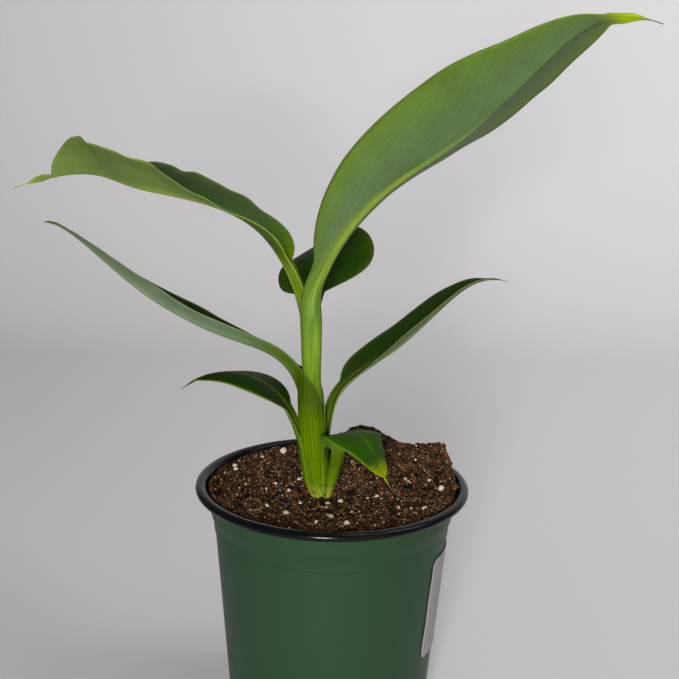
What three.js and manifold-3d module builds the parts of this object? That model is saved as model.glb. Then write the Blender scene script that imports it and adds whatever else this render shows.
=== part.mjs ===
// A young banana plant in a round nursery pot: pot, label, potting soil, pseudostem and seven leaves.
// Millimetres, +Z up, +X to the right and +Y away from the viewer.
// The origin is the centre of the pot's flat underside.
import * as THREE from 'three';
import { ParametricGeometry } from 'three/addons/geometries/ParametricGeometry.js';
import { mergeVertices } from 'three/addons/utils/BufferGeometryUtils.js';
import Module from 'manifold-3d';

const wasm = await Module();
wasm.setup();

// Clearance between neighbouring pieces, and how finely the round pieces are divided
const GAP = 0.3;
const ROUND_SIDES = 48;
const BEAD_SIDES = 8;
const STEM_SIDES = 14;

// The pot: a thin tapered wall, a shoulder that steps out to a collar, and a rolled rim on top,
// whose section runs from rimFrom to rimTo in degrees
const POT = {
  height: 146,
  rimRadius: 76.2,
  beadHalfWidth: 3,
  beadHalfHeight: 2.4,
  collarTop: { radius: 68.8, height: 139.6 },
  collarFoot: { radius: 68, height: 131.6 },
  shoulder: { radius: 65.6, height: 124.5 },
  neck: { radius: 65.1, height: 120.3 },
  baseRadius: 55,
  baseRounding: 1.5,
  wall: 1.5,
  floor: 1.8,
  rimFrom: -130,
  rimTo: 170,
  holes: 8,
  holeRadius: 5,
  holeCircle: 43,
  holeSides: 16,
  colour: 0x2b4a30,
};

// The label: a rounded rectangle that lies round the wall
const LABEL = {
  width: 46,
  height: 60,
  cornerRadius: 5,
  thickness: 0.5,
  middleHeight: 83.5,
  azimuth: -10,
  cornerDivisions: 5,
  spare: 5,
  colour: 0xd9dad7,
};

// The potting soil: a shallow dish with three heaps at the back and right, low ripples, and a
// place on the right where it spills out over the rim
const SOIL = {
  middleHeight: 138.4,
  dishRise: 5,
  sideRadius: 69.1,
  rings: 8,
  heaps: [
    { x: 18, y: 50, height: 20, spread: 15 },
    { x: 50, y: 42, height: 5, spread: 8 },
    { x: 64, y: 30, height: 14, spread: 11 },
  ],
  spill: { azimuth: 27, width: 13, reach: 3 },
  rippleHeight: 0.5,
  rippleLength: 13,
  colour: 0x3a2619,
};

// The pseudostem: a core that leans to the left, and the sheaths that wrap it and carry the leaves.
// A sheath's curve leads off along its ends for sheathLead of its rise, runs sheathPast beyond the
// leaf's foot, and lies sheathSeat of the stalk's half width to its upper side. Core and sheaths
// round off over the last part of their length.
const STEM = {
  footHeight: 134,
  course: [
    { x: -6, y: -3, z: 132, radius: 3.8 },
    { x: -8.9, y: -2.5, z: 148, radius: 6.4 },
    { x: -11, y: -2, z: 171, radius: 7.3 },
    { x: -12.2, y: -1, z: 193, radius: 7.3 },
    { x: -12.6, y: -0.5, z: 208, radius: 5.6 },
    { x: -13, y: 0, z: 224, radius: 5.3 },
    { x: -13.5, y: 0.3, z: 242, radius: 5.3 },
  ],
  rows: 22,
  sheathRows: 9,
  sheathLead: 0.35,
  sheathPast: 1.5,
  sheathSeat: 0.4,
  coreRounding: 0.97,
  sheathRounding: 0.88,
  bluntness: 0.15,
  colour: 0x6f9a1e,
};

// Leaves. The rib starts at foot and runs for length. heading (0 is +X, 90 is +Y), climb (90 is
// straight up) and roll (about the rib) are angles in degrees at even steps from foot to tip.
// left and right are how far each half of the blade folds up from flat, at even steps too.
// petiole is the bare stalk and tail the thread at the tip. belly moves the widest place towards
// the tip, and a small fullness makes the outline blunt.
const LEAVES = [
  {
    name: 'leaf_top_right', colour: 0x6b9a3c,
    foot: [-13.5, 0, 241], length: 253, petiole: 22, tail: 26,
    halfWidth: 35, stalk: 8, thread: 1.6, belly: 0.9, fullness: 0.7,
    heading: [-8, -10, -23, -35, -40, -42],
    climb: [77, 55, 35, 41, 38, -17],
    roll: [-54, -51, -43, -30, -41],
    left: [25, 44, 55, 36, -1],
    right: [32, 50, 53, 23, 1],
    sheath: { start: 205, radius: 5 },
  },
  {
    name: 'leaf_upper_left', colour: 0x4f8a2a,
    foot: [-18, 4, 236], length: 277, petiole: 35, tail: 28,
    halfWidth: 34, stalk: 5.5, thread: 1.6, belly: 1.15, fullness: 0.42,
    heading: [128, 129, 146, 146, 130, 146, 184],
    climb: [73, 34, 12, 3, 5, -8, -20],
    roll: [53, 13, 7, 9, 33],
    left: [56, 8, 45, 61, 92],
    right: [42, 4, 31, 35, 42],
    sheath: { start: 196, radius: 3.4 },
  },
  {
    name: 'leaf_back', colour: 0x2c5a1c,
    foot: [-13.5, 9, 231], length: 113, petiole: 38, tail: 6,
    halfWidth: 31, stalk: 3.6, thread: 1.2, belly: 0.8, fullness: 0.6,
    heading: [85, 84, 82, 84, 85],
    climb: [26, 16, 25, 17, 6],
    roll: [-2, -7, -8, -17],
    left: [16, -4, 1, -4],
    right: [21, 17, 27, 37],
    sheath: { start: 190, radius: 3.4 },
  },
  {
    name: 'leaf_middle_left', colour: 0x6f8f5c,
    foot: [-19, 1, 196], length: 194, petiole: 30, tail: 12,
    halfWidth: 14, stalk: 5, thread: 1.3, belly: 0.9, fullness: 0.7,
    heading: [180, 178, 176, 210, 237, 267],
    climb: [77, 19, 26, 41, 36, 7],
    roll: [31, 8, 2, -8, -13],
    left: [40, 40, 42, 17, -3],
    right: [26, 31, 36, 27, 23],
    sheath: { start: 150, radius: 3.2 },
  },
  {
    name: 'leaf_right', colour: 0x33661f,
    foot: [-3.5, 2.5, 167.5], length: 163, petiole: 38, tail: 14,
    halfWidth: 18, stalk: 3.6, thread: 1.2, belly: 0.9, fullness: 0.7,
    heading: [83, 62, 25, 16, 19, 24],
    climb: [76, 25, 27, 41, 33, -18],
    roll: [-8, 0, -3, -4, -3],
    left: [24, 24, 31, 28, 24],
    right: [26, 26, 39, 35, 30],
    sheath: { start: 132, radius: 4 },
  },
  {
    name: 'leaf_low_left', colour: 0x2f6020,
    foot: [-18.5, -1.5, 166.5], length: 94, petiole: 22, tail: 10,
    halfWidth: 16, stalk: 4, thread: 1, belly: 0.9, fullness: 0.7,
    heading: [181, 184, 197, 206, 217],
    climb: [79, 62, 29, -1, -31],
    roll: [-16, -13, -3, 5, 7],
    left: [20, -1, -10, -12, -10],
    right: [27, 21, 7, -9, -18],
    sheath: { start: 132, radius: 3.6 },
  },
  {
    name: 'leaf_low_front', colour: 0x3d7a24,
    foot: [1.3, -4, 159.9], length: 65, petiole: 6, tail: 8,
    halfWidth: 21.3, stalk: 4, thread: 0.9, belly: 0.85, fullness: 0.5,
    heading: [4, -29, -42, -34, -35, -52],
    climb: [112, 53, 3, -53, -55, -38],
    roll: [13, -11, -5, -8, -16],
    left: [3, 0, 3, 1],
    right: [3, -3, 15, 19],
    sheath: { start: 132, radius: 5.2 },
  },
];

// What all leaves share: how a half bends between rib and margin, from a channel at the stalk to a
// blade whose margins droop, and how the skin is divided
const LEAF = {
  bend: [45, 10, -20, -20, -10],
  thicknessShare: 0.0105,
  leastThickness: 1.2,
  strips: 3,
  petioleRows: 4,
  bladeRows: 13,
  tailRows: 2,
  ribSteps: 96,
  tailTaper: 0.6,
  sharpestMitre: 0.6,
};

const radians = THREE.MathUtils.degToRad;

// Turns a closed geometry into a solid: shared corners are merged and faces with no area dropped
function solid(geometry) {
  geometry.deleteAttribute('normal');
  geometry.deleteAttribute('uv');
  const merged = mergeVertices(geometry, 1e-4);
  const position = merged.getAttribute('position');
  const corners = merged.getIndex().array;
  const kept = [];
  const [a, b, c] = [new THREE.Vector3(), new THREE.Vector3(), new THREE.Vector3()];
  let volume = 0;
  for (let i = 0; i < corners.length; i += 3) {
    const [p, q, r] = corners.slice(i, i + 3);
    if (p === q || q === r || r === p) continue;
    kept.push([p, q, r]);
    a.fromBufferAttribute(position, p);
    b.fromBufferAttribute(position, q);
    c.fromBufferAttribute(position, r);
    volume += a.dot(b.cross(c));
  }
  const outward = volume > 0 ? kept : kept.map(([p, q, r]) => [p, r, q]);
  return new wasm.Manifold(new wasm.Mesh({
    numProp: 3,
    vertProperties: new Float32Array(position.array),
    triVerts: new Uint32Array(outward.flat()),
  }));
}

// A closed skin of rows by ring points. The first and last rows close on themselves.
function skin(rows, ringPoints, pointAt) {
  const geometry = new ParametricGeometry((u, v, target) => {
    const j = Math.round(u * ringPoints) % ringPoints;
    target.copy(pointAt(Math.round(v * rows), j));
  }, ringPoints, rows);
  return solid(geometry);
}

// A solid of revolution about Z from [radius, height] corners
function revolve(profile) {
  const corners = profile.map(([radius, height]) => new THREE.Vector2(radius, height));
  return solid(new THREE.LatheGeometry(corners, ROUND_SIDES).rotateX(Math.PI / 2));
}

function meshOf(name, piece, colour, roughness) {
  const { vertProperties, triVerts } = piece.getMesh();
  const geometry = new THREE.BufferGeometry();
  geometry.setAttribute('position', new THREE.BufferAttribute(new Float32Array(vertProperties), 3));
  geometry.setIndex([...triVerts]);
  const material = new THREE.MeshStandardMaterial({ color: colour, roughness, metalness: 0 });
  const mesh = new THREE.Mesh(geometry, material);
  mesh.name = name;
  return mesh;
}

// A smooth value at t (0 to 1) through evenly spaced values
function smooth(values, t) {
  const course = new THREE.SplineCurve(values.map((value, i) => new THREE.Vector2(i, value)));
  return course.getPoint(Math.min(Math.max(t, 0), 1)).y;
}

// Pot
function potWallRadius(height) {
  const climb = height / POT.neck.height;
  return THREE.MathUtils.lerp(POT.baseRadius, POT.neck.radius, climb);
}

function potOutside() {
  const { baseRadius, baseRounding, neck, shoulder, collarFoot, collarTop } = POT;
  const corners = [[0, 0], [baseRadius - baseRounding, 0]];
  corners.push([potWallRadius(baseRounding), baseRounding]);
  for (const { radius, height } of [neck, shoulder, collarFoot, collarTop]) {
    corners.push([radius, height]);
  }
  return corners;
}

function potInside() {
  const { neck, collarFoot, collarTop, wall, floor } = POT;
  const corners = [collarTop, collarFoot, neck].map(({ radius, height }) => [radius - wall, height]);
  corners.push([potWallRadius(floor) - wall, floor], [0, floor]);
  return corners;
}

// The rolled rim, from its foot on the collar, out over the top and back to the inside of the wall
function potBead() {
  const { rimRadius, height, beadHalfWidth, beadHalfHeight, rimFrom, rimTo } = POT;
  const [from, to] = [radians(rimFrom), radians(rimTo)];
  return Array.from({ length: BEAD_SIDES + 1 }, (_, i) => {
    const turn = THREE.MathUtils.lerp(from, to, i / BEAD_SIDES);
    return [
      rimRadius - beadHalfWidth + beadHalfWidth * Math.cos(turn),
      height - beadHalfHeight + beadHalfHeight * Math.sin(turn),
    ];
  });
}

function buildPot() {
  const { holes, holeRadius, holeCircle, holeSides, floor, colour } = POT;
  let pot = revolve([...potOutside(), ...potBead(), ...potInside()]);
  for (let i = 0; i < holes; i += 1) {
    const turn = (2 * Math.PI * (i + 0.5)) / holes;
    const drill = new THREE.CylinderGeometry(holeRadius, holeRadius, 4 * floor, holeSides);
    drill.rotateX(Math.PI / 2);
    drill.translate(holeCircle * Math.cos(turn), holeCircle * Math.sin(turn), 0);
    pot = pot.subtract(solid(drill));
  }
  return meshOf('pot', pot, colour, 0.45);
}

// Label: a thin shell round the wall, cut to a rounded rectangle
function buildLabel() {
  const { width, height, cornerRadius, thickness, middleHeight, azimuth, spare } = LABEL;
  const [low, high] = [middleHeight - height / 2 - spare, middleHeight + height / 2 + spare];
  const [lowInside, highInside] = [potWallRadius(low) + GAP, potWallRadius(high) + GAP];
  const shell = revolve([
    [lowInside, low], [lowInside + thickness, low],
    [highInside + thickness, high], [highInside, high], [lowInside, low],
  ]);
  const [x, y] = [width / 2 - cornerRadius, height / 2 - cornerRadius];
  const outline = new THREE.Shape();
  outline.absarc(x, y, cornerRadius, 0, Math.PI / 2);
  outline.absarc(-x, y, cornerRadius, Math.PI / 2, Math.PI);
  outline.absarc(-x, -y, cornerRadius, Math.PI, 1.5 * Math.PI);
  outline.absarc(x, -y, cornerRadius, 1.5 * Math.PI, 2 * Math.PI);
  const cutter = new THREE.ExtrudeGeometry(outline, {
    depth: POT.rimRadius, bevelEnabled: false, curveSegments: LABEL.cornerDivisions,
  });
  cutter.rotateX(Math.PI / 2).rotateZ(Math.PI / 2).rotateZ(radians(azimuth));
  cutter.translate(0, 0, middleHeight);
  return meshOf('label', shell.intersect(solid(cutter)), LABEL.colour, 0.55);
}

// Potting soil
function soilHeight(x, y) {
  const { middleHeight, dishRise, sideRadius, heaps, rippleHeight, rippleLength } = SOIL;
  let height = middleHeight + dishRise * ((x * x + y * y) / (sideRadius * sideRadius));
  for (const heap of heaps) {
    const away = (x - heap.x) ** 2 + (y - heap.y) ** 2;
    height += heap.height * Math.exp(-away / (2 * heap.spread * heap.spread));
  }
  const turn = (2 * Math.PI) / rippleLength;
  return height + rippleHeight * Math.sin(turn * x + 1) * Math.cos(turn * y);
}

// How far out the top of the soil reaches at a turn about Z, in radians
function soilReach(turn) {
  const { sideRadius, spill } = SOIL;
  const away = THREE.MathUtils.euclideanModulo(turn - radians(spill.azimuth) + Math.PI, 2 * Math.PI);
  return sideRadius + spill.reach * Math.exp(-(((away - Math.PI) / radians(spill.width)) ** 2) / 2);
}

function buildSoil(pocket) {
  const { rings } = SOIL;
  const { neck, collarFoot, collarTop, wall, floor } = POT;
  const side = [
    { radius: 0, height: floor + GAP },
    { radius: potWallRadius(floor) - wall - GAP, height: floor + GAP },
    { radius: neck.radius - wall - GAP, height: neck.height },
    { radius: collarFoot.radius - wall - GAP, height: collarFoot.height },
    { radius: collarTop.radius - wall - GAP, height: collarTop.height },
  ];
  const rows = side.length + rings;
  const block = skin(rows, ROUND_SIDES, (row, j) => {
    const turn = (2 * Math.PI * j) / ROUND_SIDES;
    const radius = row < side.length ? side[row].radius : (soilReach(turn) * (rows - row)) / rings;
    const [x, y] = [radius * Math.cos(turn), radius * Math.sin(turn)];
    return new THREE.Vector3(x, y, row < side.length ? side[row].height : soilHeight(x, y));
  });
  return meshOf('potting_soil', block.subtract(pocket), SOIL.colour, 0.95);
}

// Leaves: the rib's direction and its level side and up directions at u, rolled about the rib
function leafAxes(leaf, u) {
  const [heading, climb, roll] = [leaf.heading, leaf.climb, leaf.roll].map((v) => radians(smooth(v, u)));
  const along = new THREE.Vector3(
    Math.cos(climb) * Math.cos(heading), Math.cos(climb) * Math.sin(heading), Math.sin(climb),
  );
  const side = new THREE.Vector3(-Math.sin(heading), Math.cos(heading), 0);
  const up = along.clone().cross(side);
  side.applyAxisAngle(along, roll);
  up.applyAxisAngle(along, roll);
  return { along, side, up };
}

// The rib as a chain of short even steps from the foot
function leafRib(leaf) {
  const points = [new THREE.Vector3(...leaf.foot)];
  for (let i = 0; i < LEAF.ribSteps; i += 1) {
    const { along } = leafAxes(leaf, (i + 0.5) / LEAF.ribSteps);
    points.push(points[i].clone().addScaledVector(along, leaf.length / LEAF.ribSteps));
  }
  return (u) => {
    const step = Math.min(Math.floor(u * LEAF.ribSteps), LEAF.ribSteps - 1);
    return points[step].clone().lerp(points[step + 1], u * LEAF.ribSteps - step);
  };
}

// Half the flat width of the leaf at u: stalk, blade, then the thread at the tip
function leafHalfWidth(leaf, u) {
  const bladeFrom = leaf.petiole / leaf.length;
  const bladeTo = 1 - leaf.tail / leaf.length;
  if (u > bladeTo) {
    return leaf.thread * (1 - (LEAF.tailTaper * (u - bladeTo)) / (1 - bladeTo));
  }
  const s = Math.max((u - bladeFrom) / (bladeTo - bladeFrom), 0);
  const blade = leaf.halfWidth * Math.max(Math.sin(Math.PI * s ** leaf.belly), 0) ** leaf.fullness;
  return Math.max(blade, s < 0.5 ? leaf.stalk : leaf.thread);
}

// Where the skin has its rows: even on stalk and tail, closer at both ends of the blade
function leafStations(leaf) {
  const [bladeFrom, bladeTo] = [leaf.petiole / leaf.length, 1 - leaf.tail / leaf.length];
  const { petioleRows, bladeRows, tailRows } = LEAF;
  const stations = [];
  for (let i = 0; i < petioleRows; i += 1) stations.push((bladeFrom * i) / petioleRows);
  for (let i = 0; i <= bladeRows; i += 1) {
    const share = (1 - Math.cos((Math.PI * i) / bladeRows)) / 2;
    stations.push(THREE.MathUtils.lerp(bladeFrom, bladeTo, share));
  }
  for (let i = 1; i <= tailRows; i += 1) {
    stations.push(THREE.MathUtils.lerp(bladeTo, 1, i / tailRows));
  }
  return stations;
}

// The middle surface: for each station, points from the right margin over the rib to the left one
function leafSurface(leaf, stations, growth) {
  const rib = leafRib(leaf);
  const { strips, bend } = LEAF;
  return stations.map((u) => {
    const { side, up } = leafAxes(leaf, u);
    const strip = (leafHalfWidth(leaf, u) + growth) / strips;
    const row = [rib(u)];
    for (const [hand, folds] of [[1, leaf.left], [-1, leaf.right]]) {
      const point = rib(u);
      for (let k = 0; k < strips; k += 1) {
        const angle = radians(smooth(folds, u) + (smooth(bend, u) * (k + 0.5)) / strips);
        point.addScaledVector(side, hand * strip * Math.cos(angle));
        point.addScaledVector(up, strip * Math.sin(angle));
        if (hand > 0) row.push(point.clone());
        else row.unshift(point.clone());
      }
    }
    return row;
  });
}

// The upward offset at row i, point k: half a thickness along the normal, longer where it is creased
function leafOffset(surface, i, k, halfThickness) {
  const [last, end] = [surface.length - 1, surface[0].length - 1];
  const along = surface[Math.min(i + 1, last)][k].clone().sub(surface[Math.max(i - 1, 0)][k]);
  const [before, after] = [surface[i][Math.max(k - 1, 0)], surface[i][Math.min(k + 1, end)]];
  const normal = along.clone().cross(after.clone().sub(before)).normalize();
  const inner = k < end ? after.clone().sub(surface[i][k]) : surface[i][k].clone().sub(before);
  const lean = normal.dot(along.clone().cross(inner).normalize());
  return normal.multiplyScalar(halfThickness / Math.max(lean, LEAF.sharpestMitre));
}

function leafSolid(leaf, growth) {
  const thickness = Math.max(leaf.length * LEAF.thicknessShare, LEAF.leastThickness);
  const surface = leafSurface(leaf, leafStations(leaf), growth);
  const across = surface[0].length;
  const offsets = surface.map((row, i) => (
    row.map((_, k) => leafOffset(surface, i, k, thickness / 2 + growth))
  ));
  const rows = surface.length + 1;
  return skin(rows, 2 * across, (row, j) => {
    const i = Math.min(Math.max(row - 1, 0), surface.length - 1);
    const k = j < across ? j : 2 * across - 1 - j;
    const facing = j < across ? 1 : -1;
    const point = surface[i][k].clone();
    if (row > 0 && row < rows) return point.addScaledVector(offsets[i][k], facing);
    const { along } = leafAxes(leaf, row > 0 ? 1 : 0);
    return point.addScaledVector(along, row > 0 ? growth : -growth);
  });
}

// A round limb along a curve, with a radius for each share of its length, grown on all sides
function limb(curve, rows, radiusAt, growth) {
  const frames = curve.computeFrenetFrames(rows, false);
  return skin(rows + 2, STEM_SIDES, (row, j) => {
    const i = Math.min(Math.max(row - 1, 0), rows);
    const open = row > 0 && row < rows + 2 ? 1 : 0;
    const turn = (2 * Math.PI * j) / STEM_SIDES;
    const radius = open * (radiusAt(i / rows) + growth);
    const past = (i === rows ? growth : 0) - (i === 0 ? growth : 0);
    return curve.getPointAt(i / rows)
      .addScaledVector(frames.tangents[i], past)
      .addScaledVector(frames.normals[i], radius * Math.cos(turn))
      .addScaledVector(frames.binormals[i], radius * Math.sin(turn));
  });
}

// The share of the radius that is left at t, where a limb rounds off from a share of its length on
function rounded(t, from) {
  const past = (t - from) / (1 - from);
  return t < from ? 1 : Math.sqrt(Math.max(1 - past ** 2, STEM.bluntness));
}

// A leaf's sheath: it leaves the core low down and ends round the foot of the leaf's stalk
function sheathSolid(leaf, core, growth) {
  const { start, radius } = leaf.sheath;
  const { course, sheathLead, sheathPast, sheathSeat, sheathRows, sheathRounding } = STEM;
  const { along, up } = leafAxes(leaf, 0);
  const foot = new THREE.Vector3(...leaf.foot).addScaledVector(up, leaf.stalk * sheathSeat);
  const [bottom, top] = [course[0].z, course[course.length - 1].z];
  const root = core.getPoint((start - bottom) / (top - bottom));
  root.z = start;
  const curve = new THREE.CubicBezierCurve3(
    root, root.clone().lerp(foot, sheathLead),
    foot.clone().addScaledVector(along, sheathLead * (start - foot.z)),
    foot.clone().addScaledVector(along, sheathPast),
  );
  return limb(curve, sheathRows, (t) => radius * rounded(t, sheathRounding), growth);
}

function stemSolid(growth) {
  const core = new THREE.CatmullRomCurve3(STEM.course.map(({ x, y, z }) => new THREE.Vector3(x, y, z)));
  const radii = STEM.course.map(({ radius }) => radius);
  const radiusAt = (t) => smooth(radii, t) * rounded(t, STEM.coreRounding);
  let stem = limb(core, STEM.rows, radiusAt, growth);
  for (const leaf of LEAVES) stem = stem.add(sheathSolid(leaf, core, growth));
  const below = new THREE.BoxGeometry(POT.rimRadius, POT.rimRadius, POT.height);
  below.translate(0, 0, STEM.footHeight - growth - POT.height / 2);
  return stem.subtract(solid(below));
}

// The largest body of a cut piece, without the slivers that a cut can leave
function mainBody(piece) {
  return piece.decompose().sort((one, other) => other.volume() - one.volume())[0];
}

const plant = new THREE.Group();
const stemWithGap = stemSolid(GAP);
plant.add(buildPot(), buildLabel(), buildSoil(stemWithGap));
plant.add(meshOf('pseudostem', stemSolid(0), STEM.colour, 0.5));
let taken = stemWithGap;
for (const leaf of LEAVES) {
  const blade = mainBody(leafSolid(leaf, 0).subtract(taken));
  plant.add(meshOf(leaf.name, blade, leaf.colour, 0.5));
  taken = taken.add(leafSolid(leaf, GAP));
}

export default plant;
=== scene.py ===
"""A young banana plant in a round nursery pot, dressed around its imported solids.

Sizes are in millimetres until a mesh is written. +Z is up, +X runs to the right and +Y away
from the viewer, and the origin is the centre of the pot's flat underside.
"""

import logging
import math
import random
from dataclasses import dataclass
from enum import Enum
from typing import Callable, Sequence

import bmesh
import bpy
from mathutils import Matrix, Vector, noise


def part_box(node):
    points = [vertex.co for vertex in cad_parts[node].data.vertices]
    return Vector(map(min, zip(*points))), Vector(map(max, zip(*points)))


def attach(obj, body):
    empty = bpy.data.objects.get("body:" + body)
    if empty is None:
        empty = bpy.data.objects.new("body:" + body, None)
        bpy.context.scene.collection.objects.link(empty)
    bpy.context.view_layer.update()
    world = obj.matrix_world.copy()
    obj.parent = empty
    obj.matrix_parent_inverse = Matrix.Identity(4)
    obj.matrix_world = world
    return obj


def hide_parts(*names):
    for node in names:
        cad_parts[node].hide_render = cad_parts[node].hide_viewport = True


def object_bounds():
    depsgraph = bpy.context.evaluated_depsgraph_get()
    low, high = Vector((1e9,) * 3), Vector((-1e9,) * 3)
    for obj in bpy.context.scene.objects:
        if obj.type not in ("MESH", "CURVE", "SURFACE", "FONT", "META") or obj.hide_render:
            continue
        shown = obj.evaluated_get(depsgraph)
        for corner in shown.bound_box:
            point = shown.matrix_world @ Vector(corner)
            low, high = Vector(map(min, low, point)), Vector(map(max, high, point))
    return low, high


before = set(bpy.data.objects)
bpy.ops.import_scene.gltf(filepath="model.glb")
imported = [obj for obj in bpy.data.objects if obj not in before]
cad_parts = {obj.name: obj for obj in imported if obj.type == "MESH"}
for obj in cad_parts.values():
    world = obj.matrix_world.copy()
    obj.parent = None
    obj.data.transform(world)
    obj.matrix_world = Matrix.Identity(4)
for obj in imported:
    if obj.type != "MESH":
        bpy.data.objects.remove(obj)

CAD_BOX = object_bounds()
LOG = logging.getLogger("banana_plant")
MM = 0.001
ROOT = "root"
WELD = 2e-6
TURN = 2 * math.pi
LEAF_NUMBERS = ("across", "run", "vein", "blade", "upper")

Colour = tuple[float, float, float]
Place = Callable[[int, int], Vector]


def tone(red: int, green: int, blue: int) -> Colour:
    """Return a linear colour for display values from 0 to 255."""
    shares = (value / 255 for value in (red, green, blue))
    return tuple(v / 12.92 if v < 0.04045 else ((v + 0.055) / 1.055) ** 2.4 for v in shares)


def blend(one: Colour, other: Colour, share: float) -> Colour:
    """Return the colour a share of the way from one to the other."""
    return tuple(a + (b - a) * share for a, b in zip(one, other))


def mix(one: float, other: float, share: float) -> float:
    """Return the number a share of the way from one to the other."""
    return one + (other - one) * share


def ramp(low: float, high: float, value: float) -> float:
    """Return 0 below low, 1 above high and a smooth rise between them."""
    t = min(max((value - low) / (high - low), 0.0), 1.0)
    return t * t * (3 - 2 * t)


def bell(distance: float, reach: float) -> float:
    """Return 1 at no distance, falling off smoothly over the reach."""
    return math.exp(-((distance / reach) ** 2))


def along_course(values: Sequence[float], t: float) -> float:
    """Return a smooth value through evenly spaced ones.

    Args:
        values: The values at even steps from the start to the end.
        t: The place, from 0 at the first value to 1 at the last.

    Returns:
        The value at t on a curve that passes through all of them.
    """
    last = len(values) - 1
    place = min(max(t, 0.0), 1.0) * last
    i = min(int(place), last)
    w = place - i
    before, here = values[max(i - 1, 0)], values[i]
    after, beyond = values[min(i + 1, last)], values[min(i + 2, last)]
    leave, arrive = (after - before) / 2, (beyond - here) / 2
    cubic = 2 * here - 2 * after + leave + arrive
    square = 3 * after - 3 * here - 2 * leave - arrive
    return ((cubic * w + square) * w + leave) * w + here


def level(turn: float) -> Vector:
    """Return the level direction at a turn about the upright, counted from +X."""
    return Vector((math.cos(turn), math.sin(turn), 0))


def shown(name: str, data: bpy.types.ID) -> bpy.types.Object:
    """Return a new object of the scene that shows a mesh, a light or a camera.

    Args:
        name: The object's name.
        data: The mesh, the light or the camera.

    Returns:
        The object.
    """
    made = bpy.data.objects.new(name, data)
    bpy.context.scene.collection.objects.link(made)
    return made


class Skin:
    """A mesh in the making, with a colour and plain numbers kept for each vertex."""

    def __init__(self, numbers: Sequence[str] = ()) -> None:
        """Start an empty mesh that carries a tint and the named numbers.

        Args:
            numbers: The names of the numbers that each vertex keeps.
        """
        self.mesh = bmesh.new()
        self.tint = self.mesh.verts.layers.float_color.new("tint")
        self.numbers = {name: self.mesh.verts.layers.float.new(name) for name in numbers}

    def sheet(self, rows: int, across: int, place: Place) -> list[bmesh.types.BMVert]:
        """Lay a grid of faces and move each of its vertices to its place.

        Args:
            rows: The number of faces one way.
            across: The number of faces the other way.
            place: Gives the place in millimetres of a row and a column.

        Returns:
            The vertices, row by row.
        """
        laid = bmesh.ops.create_grid(self.mesh, x_segments=rows, y_segments=across, size=1.0)
        order = {}
        for vert in laid["verts"]:
            i = round((vert.co.x + 1) / 2 * rows)
            j = round((vert.co.y + 1) / 2 * across)
            order[i, j] = vert
        for (i, j), vert in order.items():
            vert.co = place(i, j) * MM
        return [order[i, j] for i in range(rows + 1) for j in range(across + 1)]

    def tube(
        self,
        rows: int,
        around: int,
        place: Place,
        dress: Callable[[bmesh.types.BMVert, int, int], None] | None = None,
    ) -> None:
        """Lay a grid that closes on itself across, and join its seam and ends.

        Args:
            rows: The number of faces along the tube.
            around: The number of faces round it.
            place: Gives the place in millimetres of a row and a column.
            dress: Sets a vertex's tint and numbers from its row and column.
        """
        verts = self.sheet(rows, around, lambda i, j: place(i, j % around))
        if dress:
            for index, vert in enumerate(verts):
                dress(vert, index // (around + 1), index % (around + 1) % around)
        bmesh.ops.remove_doubles(self.mesh, verts=verts, dist=WELD)

    def lump(self, middle: Vector, size: Vector, faces: int, rough: float, tint: Colour, seed: float) -> None:
        """Add an uneven grain.

        Args:
            middle: Where its middle lies, in millimetres.
            size: Its half sizes along the three axes.
            faces: How often the ball is divided.
            rough: How far its surface strays, as a share of its size.
            tint: Its colour.
            seed: A number that makes its shape its own.
        """
        turn = Matrix.Rotation(seed * 7.1, 3, "Z") @ Matrix.Rotation(seed * 3.7, 3, "X")
        ball = bmesh.ops.create_icosphere(self.mesh, subdivisions=faces, radius=1.0)
        for vert in ball["verts"]:
            stray = 1 + rough * noise.noise(vert.co * 1.7 + Vector((seed * 13.7, seed, 0)))
            shaped = Vector(c * s for c, s in zip(vert.co * stray, size))
            vert.co = (middle + turn @ shaped) * MM
            vert[self.tint] = (*tint, 1.0)

    def take(self, other: "Skin") -> None:
        """Add another skin's mesh, with its tints, to this one.

        Args:
            other: The other skin, which is used up.
        """
        carried = bpy.data.meshes.new("carried")
        other.mesh.to_mesh(carried)
        other.mesh.free()
        self.mesh.from_mesh(carried)
        bpy.data.meshes.remove(carried)

    def outward(self) -> None:
        """Turn all faces so that they look outwards."""
        bmesh.ops.recalc_face_normals(self.mesh, faces=self.mesh.faces)

    def piece(
        self,
        name: str,
        slot: str,
        finish: bpy.types.Material,
        replaced: Sequence[str] = (),
        smooth: bool = True,
    ) -> None:
        """Write the mesh out as a piece of the plant, kept within the solids' reach.

        Args:
            name: The piece's name.
            slot: Not used.
            finish: Its material.
            replaced: The solids that it stands for.
            smooth: Whether its faces are shaded smoothly.
        """
        data = bpy.data.meshes.new(name)
        for vert in self.mesh.verts:
            vert.co = Vector(min(max(c, low), high) for c, low, high in zip(vert.co, *CAD_BOX))
        for face in self.mesh.faces:
            face.smooth = smooth
        self.mesh.to_mesh(data)
        self.mesh.free()
        made = shown(name, data)
        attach(made, ROOT)
        if replaced:
            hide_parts(*replaced)
        data.materials.append(finish)
        LOG.info("%s: %d faces", name, len(data.polygons))


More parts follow.
